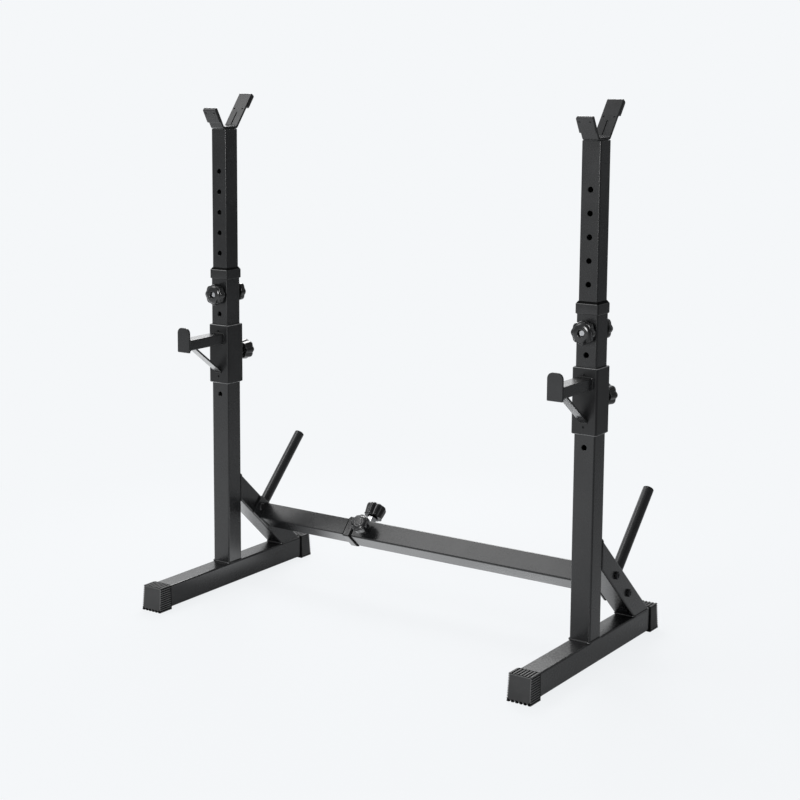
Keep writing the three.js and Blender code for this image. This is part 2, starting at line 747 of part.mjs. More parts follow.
function makeCrossbar() {
  const crossbar = new THREE.Group();
  crossbar.applyMatrix4(moved(0, -postSetback, 0).multiply(slopeFrame()));
  place(crossbar, "crossbar_outer", crossbarOuter(), blackPaint);
  place(crossbar, "crossbar_inner", crossbarInner(), blackPaint);
  const openEnd = moved(crossbarEnd, 0, 0).multiply(turnedY(-quarterTurn));
  place(crossbar, "crossbar_collar", collar(crossbarSide, innerSide, openEnd), blackPlastic);
  const top = crossbarTopFace(crossbarSide, crossbarPin);
  gripSet(crossbar, "crossbar_pin", "crossbar_pin_knob", top, crossbarWall);
  const front = crossbarFrontFace(crossbarSide, crossbarClamp);
  const clamp = ["crossbar_clamp_screw", "crossbar_clamp_knob"];
  starSet(crossbar, clamp, front, crossbarWall, clampLift, clampRadius, false);
  for (const [side, sign] of [["left", -1], ["right", 1]]) {
    for (const [level, y] of [["upper", boltPlaces[0]], ["lower", boltPlaces[1]]]) {
      place(crossbar, `${side}_${level}_bolt`, bolt(sign, y), zinc);
      place(crossbar, `${side}_${level}_nut`, nut(sign, y), zinc);
    }
  }
  return crossbar;
}

const group = new THREE.Group();
group.add(makeStand("left", -1), makeStand("right", 1), makeCrossbar());

export default group;
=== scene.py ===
"""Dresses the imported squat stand: painted tube, ribbed rubber, moulded knobs, and a pale studio."""

import logging
import math
from collections.abc import Callable
from dataclasses import dataclass, field
from enum import Enum

import bmesh
import bpy
from mathutils import Matrix, Vector


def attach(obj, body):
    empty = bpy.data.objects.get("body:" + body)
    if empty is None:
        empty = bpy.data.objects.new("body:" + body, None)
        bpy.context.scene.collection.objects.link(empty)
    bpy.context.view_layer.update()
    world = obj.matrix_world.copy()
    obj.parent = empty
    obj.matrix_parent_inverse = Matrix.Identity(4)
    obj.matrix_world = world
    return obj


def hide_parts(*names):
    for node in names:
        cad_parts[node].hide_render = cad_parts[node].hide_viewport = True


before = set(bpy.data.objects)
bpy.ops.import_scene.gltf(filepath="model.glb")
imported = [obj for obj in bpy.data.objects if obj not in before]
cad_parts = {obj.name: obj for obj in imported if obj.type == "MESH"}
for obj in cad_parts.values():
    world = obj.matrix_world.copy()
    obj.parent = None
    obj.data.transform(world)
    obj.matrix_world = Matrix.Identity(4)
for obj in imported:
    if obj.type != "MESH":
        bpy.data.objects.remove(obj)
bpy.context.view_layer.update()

LOG = logging.getLogger("squat_stand")
Ring = list[Vector]
Profile = list[tuple[float, float]]
Cut = Callable[[Vector], float]

# Sizes that several pieces share, in millimetres

MM = 0.001  # in metres
QUARTER = math.pi / 2  # a quarter turn
SEAM = 0.3  # between pieces that touch
SPACING = 1000.0  # between the middles of the posts
SETBACK = 12.5  # from the middle of the foot to the post in front of it
FOOT_TOP = 57.3
POST_SIDE = 50.0
POST_BASE = 57.6
POST_TOP = 797.6
WALL = 2.0
INNER_SIDE = 45.0
INNER_CORNER = 3.0
MAST_TOP = 1138.6
BRACE_SIDE = 50.0
SLEEVE_SIDE = 60.0
SLOPE = math.radians(42)  # of the brace
BAR_REACH = 127.5  # from the post back to the crossbar's axis
BAR_HEIGHT = 151.368  # of that axis
BAR_PIN = -167.3  # along the crossbar from its middle
BAR_CLAMP = -155.3
HOLE_PITCH = 50.0
HOLE_RADIUS = 6.0
HOLE_DEPTH = 4.0
PIN_BORE = 5.3  # radius of the way in for a pin
PIN_FLARE = 0.1
LOCK_HEIGHT = 736.6
HOOK_PIN_HEIGHT = 586.6
BOSS_HEIGHT = 5.0
BOSS_RADIUS = 10.0


# Node trees


def arithmetic(operation: str, flipped: bool = False) -> Callable[["Wire", "Wire | float"], "Wire"]:
    """Makes an operator of the Wire class.

    Args:
        operation: The Math node's operation.
        flipped: Whether the wire stands on the right of the operator.

    Returns:
        The operator's method.
    """

    def method(wire: "Wire", other: "Wire | float") -> "Wire":
        """Adds the Math node."""
        return wire.graph.math(operation, *((other, wire) if flipped else (wire, other)))

    return method


@dataclass(frozen=True)
class Wire:
    """One value in a node tree, with arithmetic that adds Math nodes."""

    graph: "Graph"
    socket: bpy.types.NodeSocket

    __add__ = arithmetic("ADD")
    __radd__ = arithmetic("ADD", True)
    __sub__ = arithmetic("SUBTRACT")
    __rsub__ = arithmetic("SUBTRACT", True)
    __mul__ = arithmetic("MULTIPLY")
    __rmul__ = arithmetic("MULTIPLY", True)
    __truediv__ = arithmetic("DIVIDE")


class Graph:
    """Builds one node tree, for a material, a world or geometry."""

    def __init__(self, tree: bpy.types.NodeTree) -> None:
        """Starts from an empty tree."""
        self.tree = tree
        tree.nodes.clear()

    def node(
        self, kind: str, settings: dict | None = None, sockets: dict | None = None
    ) -> bpy.types.Node:
        """Adds any node.

        Args:
            kind: The node's type.
            settings: Its properties, which are set first.
            sockets: Values or wires for its inputs, by name or number.

        Returns:
            The new node.
        """
        made = self.tree.nodes.new(kind)
        for name, value in (settings or {}).items():
            setattr(made, name, value)
        for name, value in (sockets or {}).items():
            if isinstance(value, Wire):
                self.tree.links.new(value.socket, made.inputs[name])
            else:
                made.inputs[name].default_value = value
        return made

    def wire(
        self, kind: str, output: str | int, settings: dict | None = None,
        sockets: dict | None = None,
    ) -> Wire:
        """Adds a node as node does and returns one of its outputs, by name or number."""
        return Wire(self, self.node(kind, settings, sockets).outputs[output])

    def math(self, operation: str, *values: Wire | float) -> Wire:
        """Adds a Math node with its inputs in order."""
        return self.wire("ShaderNodeMath", 0, {"operation": operation}, dict(enumerate(values)))

    def clamp(self, value: Wire, low: float, high: float) -> Wire:
        """Maps the range from low to high to 0 to 1, clamped."""
        sockets = {"Value": value, "From Min": low, "From Max": high}
        return self.wire("ShaderNodeMapRange", 0, None, sockets)

    def smooth(self, value: Wire, sockets: dict) -> Wire:
        """Maps a value by a smooth step between the ends that the sockets give."""
        settings = {"interpolation_type": "SMOOTHSTEP"}
        return self.wire("ShaderNodeMapRange", 0, settings, {"Value": value, **sockets})

    def axes(self, vector: Wire) -> list[Wire]:
        """The x, y and z of a vector."""
        outputs = self.node("ShaderNodeSeparateXYZ", None, {0: vector}).outputs
        return [Wire(self, output) for output in outputs]

    def rays(self, *kinds: str) -> list[Wire]:
        """Whether the ray is a camera ray, a glossy ray and so on."""
        path = self.node("ShaderNodeLightPath")
        return [Wire(self, path.outputs[f"Is {kind} Ray"]) for kind in kinds]


class MaterialGraph(Graph):
    """A material's tree, with the nodes that the finishes share."""

    def __init__(self, name: str) -> None:
        """Makes the material.

        Args:
            name: What it is called.
        """
        self.material = bpy.data.materials.new(name)
        self.material.use_nodes = True
        super().__init__(self.material.node_tree)
        self.place = self.wire("ShaderNodeTexCoord", "Object")

    def noise(self, scale: float, detail: float) -> Wire:
        """Adds noise from 0 to 1, with about scale features per metre and detail finer layers."""
        sockets = {"Vector": self.place, "Scale": scale, "Detail": detail}
        return self.wire("ShaderNodeTexNoise", 0, {"noise_dimensions": "3D"}, sockets)

    def mix(self, factor: Wire, low: tuple, high: tuple) -> Wire:
        """Mixes two colours by a factor."""
        sockets = {0: factor, 6: (*low, 1), 7: (*high, 1)}
        return self.wire("ShaderNodeMix", 2, {"data_type": "RGBA"}, sockets)

    def bump(self, height: Wire, depth: float, strength: float) -> Wire:
        """Turns a height pattern into a normal; depth is in metres."""
        sockets = {"Height": height, "Distance": depth, "Strength": strength}
        return self.wire("ShaderNodeBump", "Normal", None, sockets)

    def surface(self, sockets: dict) -> bpy.types.Material:
        """Closes the tree with a Principled shader.

        Args:
            sockets: Values and wires for the shader's inputs.

        Returns:
            The finished material.
        """
        shader = self.wire("ShaderNodeBsdfPrincipled", 0, None, sockets)
        self.node("ShaderNodeOutputMaterial", None, {"Surface": shader})
        return self.material


class GeometryGraph(Graph):
    """A geometry tree with named inputs that ends in Realize Instances and Set Material."""

    TYPES = {float: "NodeSocketFloat", int: "NodeSocketInt", Vector: "NodeSocketVector"}

    def __init__(self, name: str, inputs: dict) -> None:
        """Makes the tree and its inputs.

        Args:
            name: The tree's name.
            inputs: Default values by input name; their types choose the sockets.
        """
        super().__init__(bpy.data.node_groups.new(name, "GeometryNodeTree"))
        face = self.tree.interface
        face.new_socket("Geometry", in_out="INPUT", socket_type="NodeSocketGeometry")
        for label, value in inputs.items():
            kind = self.TYPES[type(value)]
            face.new_socket(label, in_out="INPUT", socket_type=kind).default_value = value
        face.new_socket("Material", in_out="INPUT", socket_type="NodeSocketMaterial")
        face.new_socket("Geometry", in_out="OUTPUT", socket_type="NodeSocketGeometry")
        self.inputs = self.node("NodeGroupInput")

    def given(self, name: str) -> Wire:
        """One of the tree's inputs."""
        return Wire(self, self.inputs.outputs[name])

    def polar(self) -> list[Wire]:
        """Each point's x, y, z, distance from the Z axis and angle round it."""
        x, y, z = self.axes(self.wire("GeometryNodeInputPosition", 0))
        return [x, y, z, self.math("SQRT", x * x + y * y), self.math("ARCTAN2", y, x)]

    def close(self, geometry: Wire) -> None:
        """Realizes the instances, sets the material and ends the tree.

        Args:
            geometry: What the tree has made.
        """
        real = self.wire("GeometryNodeRealizeInstances", 0, None, {0: geometry})
        smooth = self.wire("GeometryNodeSetShadeSmooth", 0, None, {0: real})
        sockets = {0: smooth, "Material": self.given("Material")}
        dressed = self.wire("GeometryNodeSetMaterial", 0, None, sockets)
        self.node("NodeGroupOutput", None, {0: dressed})

    def close_drawn(self, x: Wire, y: Wire, z: Wire, share: Wire) -> None:
        """Ends a tree that moves each point to a share of its distance from the Z axis.

        Args:
            x: The point's x.
            y: Its y.
            z: Its z, which stays.
            share: The share.
        """
        place = self.wire("ShaderNodeCombineXYZ", 0, None, {0: x * share, 1: y * share, 2: z})
        sockets = {"Geometry": self.given("Geometry"), "Position": place}
        self.close(self.wire("GeometryNodeSetPosition", 0, None, sockets))

    def close_swept(self, curve: Wire, sides: int, radius: Wire) -> None:
        """Ends a tree that sweeps a round section along a curve.

        Args:
            curve: The curve.
            sides: Of the section.
            radius: Of the section.
        """
        sockets = {"Resolution": sides, "Radius": radius}
        section = self.wire("GeometryNodeCurvePrimitiveCircle", 0, None, sockets)
        sockets = {"Curve": curve, "Profile Curve": section, "Fill Caps": True}
        self.close(self.wire("GeometryNodeCurveToMesh", 0, None, sockets))

    def apply(
        self, piece: bpy.types.Object, finish: "Finish", **values: float | Vector
    ) -> bpy.types.Mesh:
        """Runs the tree on an object and returns the result as a plain mesh.

        Args:
            piece: The object that the tree starts from; it is removed.
            finish: For the tree's material input.
            values: Values for the other inputs, spaces in their names as underscores.

        Returns:
            The new mesh.
        """
        modifier = piece.modifiers.new("rule", "NODES")
        modifier.node_group = self.tree
        wanted = {name.replace("_", " "): value for name, value in values.items()}
        wanted["Material"] = MATERIALS[finish]
        for item in self.tree.interface.items_tree:
            if item.in_out == "INPUT" and item.name in wanted:
                modifier[item.identifier] = wanted.pop(item.name)
        assert not wanted, f"{self.tree.name} has no input {list(wanted)}"
        return taken(piece)


def row_rule() -> GeometryGraph:
    """Repeats a mesh along a line: ribs, bolts and the punches of hole rows.

    Returns:
        The tree.
    """
    rule = GeometryGraph("row", {"Count": 1, "Step": Vector()})
    sockets = {"Count": rule.given("Count"), "Offset": rule.given("Step")}
    line = rule.wire("GeometryNodeMeshLine", 0, {"mode": "OFFSET"}, sockets)
    sockets = {"Points": line, "Instance": rule.given("Geometry")}
    rule.close(rule.wire("GeometryNodeInstanceOnPoints", 0, None, sockets))
    return rule


def bead_rule() -> GeometryGraph:
    """Sweeps a rippled weld bead along the edges of a mesh.

    Returns:
        The tree.
    """
    inputs = {"Radius": 0.002, "Pitch": 0.002, "Ripple": 0.15, "Wander": 0.25, "Seed": 0.0}
    rule = GeometryGraph("bead", inputs)
    curve = rule.wire("GeometryNodeMeshToCurve", 0, None, {0: rule.given("Geometry")})
    sockets = {"Curve": curve, "Length": rule.given("Pitch") / 5}
    fine_curve = rule.wire("GeometryNodeResampleCurve", 0, {"mode": "LENGTH"}, sockets)
    along = rule.wire("GeometryNodeSplineParameter", "Length")
    wave = rule.math("SINE", along / rule.given("Pitch") * (4 * QUARTER))
    sockets = {"W": rule.given("Seed"), "Scale": 160.0, "Detail": 2.0}
    drift = rule.wire("ShaderNodeTexNoise", 0, {"noise_dimensions": "4D"}, sockets) - 0.5
    share = 1 + wave * rule.given("Ripple") + drift * rule.given("Wander") * 2
    sockets = {"Curve": fine_curve, "Radius": share}
    thick = rule.wire("GeometryNodeSetCurveRadius", 0, None, sockets)
    rule.close_swept(thick, 10, rule.given("Radius"))
    return rule


def lobe_rule() -> GeometryGraph:
    """Draws the rim of a turned knob in between its lobes, in soft waves or in sharp valleys.

    Returns:
        The tree.
    """
    inputs = {"Lobes": 8, "Depth": 0.1, "Inner Radius": 0.01, "Outer Radius": 0.02, "Sharp": 0.0}
    rule = GeometryGraph("lobes", inputs)
    x, y, z, radius, turned = rule.polar()
    ends = {"From Min": rule.given("Inner Radius"), "From Max": rule.given("Outer Radius")}
    mask = rule.smooth(radius, ends)
    angle = turned * rule.given("Lobes")
    soft = (1 - rule.math("COSINE", angle)) / 2
    sharp = 1 - rule.math("ABSOLUTE", rule.math("COSINE", angle / 2))
    dip = soft + (sharp - soft) * rule.given("Sharp")
    rule.close_drawn(x, y, z, 1 - dip * mask * rule.given("Depth"))
    return rule


def hexagon_rule() -> GeometryGraph:
    """Cuts a turned blank back to a hexagon, which leaves the rounded corners of a real nut.

    Returns:
        The tree.
    """
    rule = GeometryGraph("hexagon", {"Across": 0.017})
    x, y, z, radius, turned = rule.polar()
    sixth = 4 * QUARTER / 6
    from_flat = rule.math("MODULO", turned + 4 * QUARTER, sixth) - sixth / 2
    reach = rule.given("Across") / 2 / rule.math("COSINE", from_flat)
    share = rule.math("MINIMUM", radius, reach) / rule.math("MAXIMUM", radius, 1e-6)
    rule.close_drawn(x, y, z, share)
    return rule


def thread_rule() -> GeometryGraph:
    """Winds a screw thread along Z.

    Returns:
        The tree.
    """
    inputs = {"Radius": 0.005, "Turns": 4.0, "Height": 0.006, "Crest": 0.0005}
    rule = GeometryGraph("thread", inputs)
    radius = rule.given("Radius")
    sockets = {
        "Resolution": 24, "Rotations": rule.given("Turns"), "Start Radius": radius,
        "End Radius": radius, "Height": rule.given("Height"),
    }
    spiral = rule.wire("GeometryNodeCurveSpiral", 0, None, sockets)
    rule.close_swept(spiral, 5, rule.given("Crest"))
    return rule


# Finishes


@dataclass(frozen=True)
class PowderCoat:
    """Satin black powder coat: orange peel, fine grain and slightly uneven gloss."""

    name: str = "powder_coat"
    dark: tuple = (0.0085, 0.0087, 0.0092)
    light: tuple = (0.0135, 0.0138, 0.0145)
    roughness: float = 0.27
    gloss: float = 0.7
    peel: float = 0.08

    def make(self) -> bpy.types.Material:
        """Builds the material.

        Returns:
            The finished material.
        """
        g = MaterialGraph(self.name)
        cloud = g.noise(14, 3)
        peel = g.noise(700, 2)
        grain = g.noise(2600, 1)
        return g.surface({
            "Specular IOR Level": self.gloss,
            "IOR": 1.5,
            "Base Color": g.mix(g.clamp(cloud, 0.3, 0.7), self.dark, self.light),
            "Roughness": self.roughness + (cloud - 0.5) * 0.12 + (peel - 0.5) * 0.06,
            "Normal": g.bump(peel * 0.7 + grain * 0.3, 0.0004, self.peel),
        })


@dataclass(frozen=True)
class Moulding:
    """Black moulded plastic or rubber: fine texture, with gloss that varies in clouds."""

    name: str
    dark: tuple
    light: tuple
    roughness: float
    gloss: float
    grain_scale: float
    grain: float

    def make(self) -> bpy.types.Material:
        """Builds the material.

        Returns:
            The finished material.
        """
        g = MaterialGraph(self.name)
        cloud = g.noise(30, 2)
        grain = g.noise(self.grain_scale, 3)
        shade = g.clamp(cloud + (grain - 0.5) * 0.4, 0.3, 0.7)
        return g.surface({
            "Specular IOR Level": self.gloss,
            "IOR": 1.5,
            "Base Color": g.mix(shade, self.dark, self.light),
            "Roughness": self.roughness + (cloud - 0.5) * 0.14 + (grain - 0.5) * 0.10,
            "Normal": g.bump(grain, 0.0003, self.grain),
        })


@dataclass(frozen=True)
class Metal:
    """Bare or plated metal with fine scratches and cloudy plating."""

    name: str
    dark: tuple
    light: tuple
    roughness: float
    metallic: float

    def make(self) -> bpy.types.Material:
        """Builds the material.

        Returns:
            The finished material.
        """
        g = MaterialGraph(self.name)
        cloud = g.noise(160, 3)
        scratch = g.noise(3500, 2)
        return g.surface({
            "Base Color": g.mix(g.clamp(cloud, 0.3, 0.7), self.dark, self.light),
            "Roughness": self.roughness + (cloud - 0.5) * 0.15,
            "Metallic": self.metallic - g.clamp(cloud, 0.6, 0.9) * 0.1,
            "Normal": g.bump(scratch, 0.0001, 0.12),
        })


class Finish(Enum):
    """The finishes of this stand."""

    PAINT = PowderCoat()
    HOOK = PowderCoat("hook_powder_coat", roughness=0.33, gloss=0.45)
    # Lighter paint on the sleeve's rims: a painted highlight of their edges.
    EDGE = PowderCoat("painted_highlight_rim", (0.10, 0.10, 0.102), (0.22, 0.22, 0.222), 0.3, 0.8)
    WELD = PowderCoat("painted_weld", roughness=0.22, gloss=0.8, peel=0.2)
    KNOB = Moulding(
        "knob_plastic", (0.006, 0.006, 0.0063), (0.010, 0.010, 0.0105), 0.18, 0.8, 1800, 0.04
    )
    LINER = Moulding(
        "liner_plastic", (0.016, 0.016, 0.0165), (0.024, 0.024, 0.025), 0.3, 0.6, 1200, 0.03
    )
    # Near-black matte rubber: painted shade in the caps' grooves, mouths and soles, on the collars'
    # shoulders and in the crossbar collar's gap.
    SEAL = Moulding(
        "seal_rubber", (0.002, 0.002, 0.002), (0.003, 0.003, 0.003), 0.8, 0.1, 1500, 0.2
    )
    RUBBER = Moulding(
        "cap_rubber", (0.022, 0.022, 0.0225), (0.032, 0.032, 0.0325), 0.5, 0.5, 1500, 0.15
    )
    # Lighter copy of the cap rubber: painted light on the caps' side ribs and end borders.
    RIB = Moulding(
        "rib_rubber", (0.072, 0.072, 0.0725), (0.092, 0.092, 0.0925), 0.45, 0.6, 1500, 0.1
    )
    CHROME = Metal("chrome_pin", (0.72, 0.73, 0.75), (0.86, 0.86, 0.87), 0.16, 1.0)
    ZINC = Metal("dark_zinc", (0.05, 0.05, 0.053), (0.09, 0.09, 0.094), 0.36, 0.9)


MATERIALS = {finish: finish.value.make() for finish in Finish}
Part = tuple[bpy.types.Mesh, Finish]


# Shapes, in millimetres


@dataclass
class Shell:
    """Points and faces of one closed shape."""

    points: list[Vector]
    faces: list[tuple[int, ...]]

    def placed(self, matrix: Matrix) -> "Shell":
        """The same shape moved by a matrix."""
        return Shell([matrix @ point for point in self.points], self.faces)


def loft(rings: list[Ring], closed: bool = False) -> Shell:
    """Skins a stack of rings.

    Args:
        rings: Rings of equally many points.
        closed: Whether the last ring joins the first, as a tube's wall does, without caps.

    Returns:
        The closed shape.
    """
    size = len(rings[0])
    count = len(rings)
    faces = []
    for i in range(count if closed else count - 1):
        low, high = i * size, (i + 1) % count * size
        for j in range(size):
            k = (j + 1) % size
            faces.append((low + j, low + k, high + k, high + j))
    if not closed:
        faces.append(tuple(reversed(range(size))))
        faces.append(tuple((count - 1) * size + j for j in range(size)))
    return Shell([point for ring in rings for point in ring], faces)


def arc(x: float, y: float, z: float, radius: float, start: int, steps: int) -> Ring:
    """A quarter of a level circle.

    Args:
        x: Of its middle.
        y: Of its middle.
        z: Its height.
        radius: Its radius.
        start: Where it starts, in quarter turns.
        steps: Its divisions.

    Returns:
        The points, both ends included.
    """
    turns = ((start + step / steps) * QUARTER for step in range(steps + 1))
    return [Vector((x + radius * math.cos(a), y + radius * math.sin(a), z)) for a in turns]


def rounded(width: float, height: float, corner: float, z: float = 0.0, steps: int = 6) -> Ring:
    """A rectangle with rounded corners.

    Args:
        width: Along X.
        height: Along Y.
        corner: Radius of its corners.
        z: Its height.
        steps: Divisions of each corner.

    Returns:
        The level ring.
    """
    ring = []
    for start, (sx, sy) in enumerate(((1, 1), (-1, 1), (-1, -1), (1, -1))):
        cx, cy = sx * (width / 2 - corner), sy * (height / 2 - corner)
        ring += arc(cx, cy, z, corner, start, steps)
    return ring


def square_stack(plan: list[tuple[float, float, float]], closed: bool = True) -> Shell:
    """Skins rounded squares, each given by its side, its corner and its height."""
    return loft([rounded(side, side, corner, z) for side, corner, z in plan], closed)


def circle(radius: float, z: float, sides: int = 48) -> Ring:
    """A level circle."""
    turns = (4 * QUARTER * i / sides for i in range(sides))
    return [Vector((radius * math.cos(a), radius * math.sin(a), z)) for a in turns]


def slanted(ring: Ring, cut: Cut | None) -> Ring:
    """Raises the points of a ring.

    Args:
        ring: The ring, which is changed.
        cut: What each point is raised by, or None to leave the ring level.

    Returns:
        The same ring.
    """
    if cut:
        for point in ring:
            point.z += cut(point)
    return ring


@dataclass(frozen=True)
class Tube:
    """A rectangular tube along Z with softened ends, which may be cut on a slant."""

    width: float
    height: float
    wall: float
    corner: float
    start: float
    end: float
    edge: float = 0.5

    def shell(self, start_cut: Cut | None = None, end_cut: Cut | None = None) -> Shell:
        """Builds the wall.

        Args:
            start_cut: What each point of the start is raised by.
            end_cut: The same for the end.

        Returns:
            The closed wall.
        """
        outside = (self.width, self.height, self.corner)
        bore = self.wall * 2
        inside = (self.width - bore, self.height - bore, max(self.corner - self.wall, 0.8))
        trim = self.edge * 2
        lip = (self.width - trim, self.height - trim, self.corner - self.edge / 2)
        plan = [
            (lip, self.start, start_cut), (outside, self.start + self.edge, start_cut),
            (outside, self.end - self.edge, end_cut), (lip, self.end, end_cut),
            (inside, self.end, end_cut), (inside, self.start, start_cut),
        ]
        return loft([slanted(rounded(*section, z), cut) for section, z, cut in plan], True)


def bar(
    width: float, height: float, corner: float, start: float, end: float, edge: float = 0.6
) -> Shell:
    """A solid bar along Z with chamfered ends.

    Args:
        width: Along X.
        height: Along Y.
        corner: Radius of its long corners.
        start: Where it starts.
        end: Where it ends.
        edge: Size of the chamfers.

    Returns:
        The bar.
    """
    trim = 2 * edge
    lip = (width - trim, height - trim, max(corner - edge, 0.3))
    rings = [rounded(*lip, start), rounded(width, height, corner, start + edge)]
    rings += [rounded(width, height, corner, end - edge), rounded(*lip, end)]
    return loft(rings)


def lathe(profile: Profile, closed: bool = False, sides: int = 48) -> Shell:
    """Turns a profile of radius and height about Z."""
    return loft([circle(radius, z, sides) for radius, z in profile], closed)


def fine(profile: Profile, reach: float, closed: bool) -> Profile:
    """Divides the long steps of a profile, so that a rule can bend what is turned from it.

    Args:
        profile: Radius and height of its points.
        reach: The longest step to leave.
        closed: Whether the last point joins the first.

    Returns:
        The finer profile.
    """
    made = []
    for (r0, z0), (r1, z1) in zip(profile, profile[1:] + profile[:1] * closed):
        count = max(1, math.ceil(math.dist((r0, z0), (r1, z1)) / reach))
        made += [(r0 + (r1 - r0) * i / count, z0 + (z1 - z0) * i / count) for i in range(count)]
    return made + profile[-1:] * (not closed)


def smooth_path(corners: Profile, radii: list[float], steps: int = 8) -> list[Vector]:
    """A path in the YZ plane with rounded corners.

    Args:
        corners: Its points, ends included.
        radii: Radius at each inner corner.
        steps: Divisions of each bend.

    Returns:
        Points with x = 0.
    """
    path = [Vector((0, *point)) for point in corners]
    made = [path[0]]
    for before, here, after, radius in zip(path, path[1:], path[2:], radii):
        into, out = (here - before).normalized(), (after - here).normalized()
        back = radius * math.tan(math.acos(max(-1.0, min(1.0, into.dot(out)))) / 2)
        start, end = here - into * back, here + out * back
        for i in range(steps + 1):
            t = i / steps
            made.append(start * (1 - t) ** 2 + here * 2 * t * (1 - t) + end * t**2)
    return made + [path[-1]]


def ribbon(path: list[Vector], thickness: float, width: float, corner: float) -> Shell:
    """A flat strip with rounded edges.

    Args:
        path: Its middle line, in the YZ plane.
        thickness: Of the strip.
        width: Along X, centred on x = 0.
        corner: Radius of its edges.

    Returns:
        The strip.
    """
    rings = []
    for i, point in enumerate(path):
        ahead = path[min(i + 1, len(path) - 1)] - path[max(i - 1, 0)]
        normal = Vector((0, -ahead.z, ahead.y)).normalized()
        section = rounded(width, thickness, corner, steps=4)
        rings.append([point + Vector((p.x, 0, 0)) + normal * p.y for p in section])
    return loft(rings)


def slab(outline: list[Vector], half: float, edge: float, inset: Callable) -> Shell:
    """A flat plate across X whose outline is drawn in at both faces.

    Args:
        outline: Its outline, in the YZ plane.
        half: Half its width.
        edge: How wide the bevel is.
        inset: Function of the outline and a distance that draws it in.

    Returns:
        The plate.
    """
    rings = []
    for x, distance in ((-half, edge), (edge - half, 0.0), (half - edge, 0.0), (half, edge)):
        rings.append([point + Vector((x, 0, 0)) for point in inset(outline, distance)])
    return loft(rings)


def shifted(x: float, y: float, z: float) -> Matrix:
    """A move."""
    return Matrix.Translation((x, y, z))


OUT_FRONT = Matrix.Rotation(QUARTER, 4, "X")  # Z to -Y
OUT_BACK = Matrix.Rotation(-QUARTER, 4, "X")  # Z to +Y
OUT_RIGHT = Matrix.Rotation(QUARTER, 4, "Y")  # Z to +X
OUT_LEFT = Matrix.Rotation(-QUARTER, 4, "Y")  # Z to -X


# Pieces


def metric(place: Matrix) -> Matrix:
    """Turns a placement's move from millimetres to metres.

    Args:
        place: The placement, which stays as it is.

    Returns:
        The new placement.
    """
    made = place.copy()
    made.translation *= MM
    return made


def linked(name: str, data: bpy.types.ID) -> bpy.types.Object:
    """Puts a mesh, a lamp or a camera in an object of its own.

    Args:
        name: The object's name.
        data: What it shows.

    Returns:
        The object, in the scene.
    """
    made = bpy.data.objects.new(name, data)
    bpy.context.scene.collection.objects.link(made)
    return made


def raw(shells: list[Shell], place: Matrix = Matrix()) -> bpy.types.Object:
    """Makes an unfinished object, in metres, with its faces outwards.

    Args:
        shells: Closed shapes in millimetres.
        place: Where they go, in millimetres.

    Returns:
        The object, at the origin.
    """
    points: list[Vector] = []
    faces: list[tuple[int, ...]] = []
    for shell in shells:
        first = len(points)
        points += [place @ point * MM for point in shell.points]
        faces += [tuple(first + i for i in face) for face in shell.faces]
    mesh = bpy.data.meshes.new("raw")
    mesh.from_pydata(points, [], faces)
    work = bmesh.new()
    work.from_mesh(mesh)
    bmesh.ops.remove_doubles(work, verts=work.verts, dist=1e-7)
    bmesh.ops.recalc_face_normals(work, faces=work.faces)
    work.to_mesh(mesh)
    work.free()
    return linked("raw", mesh)


def wire_path(rings: list[Ring], place: Matrix, closed: bool = True) -> bpy.types.Object:
    """Makes an object of bare edges, the path of a weld bead.

    Args:
        rings: Its lines, in millimetres.
        place: Where they go.
        closed: Whether each line is a loop.

    Returns:
        The object.
    """
    points: list[Vector] = []
    edges: list[tuple[int, int]] = []
    for ring in rings:
        first, size = len(points), len(ring)
        points += [place @ point * MM for point in ring]
        count = size if closed else size - 1
        edges += [(first + i, first + (i + 1) % size) for i in range(count)]
    mesh = bpy.data.meshes.new("path")
    mesh.from_pydata(points, edges, [])
    return linked("path", mesh)


def taken(piece: bpy.types.Object) -> bpy.types.Mesh:
    """Takes the evaluated mesh of an object and removes the object.

    Args:
        piece: The object.

    Returns:
        The mesh.
    """
    graph = bpy.context.evaluated_depsgraph_get()
    mesh = bpy.data.meshes.new_from_object(piece.evaluated_get(graph))
    bpy.data.objects.remove(piece)
    return mesh


def solid(
    finish: Finish, shells: list[Shell], place: Matrix = Matrix(),
    punches: list[bpy.types.Mesh] | None = None,
) -> Part:
    """Makes a part of closed shapes, with holes.

    Args:
        finish: Its finish.
        shells: The shapes.
        place: Where they go.
        punches: Closed meshes that are taken away from it.

    Returns:
        The mesh and its finish.
    """
    piece = raw(shells, place)
    cutters = [linked("cutter", mesh) for mesh in punches or []]
    for cutter in cutters:
        modifier = piece.modifiers.new("punch", "BOOLEAN")
        modifier.operation = "DIFFERENCE"
        modifier.solver = "EXACT"
        modifier.object = cutter
    made = taken(piece)
    for cutter in cutters:
        bpy.data.objects.remove(cutter)
    return made, finish


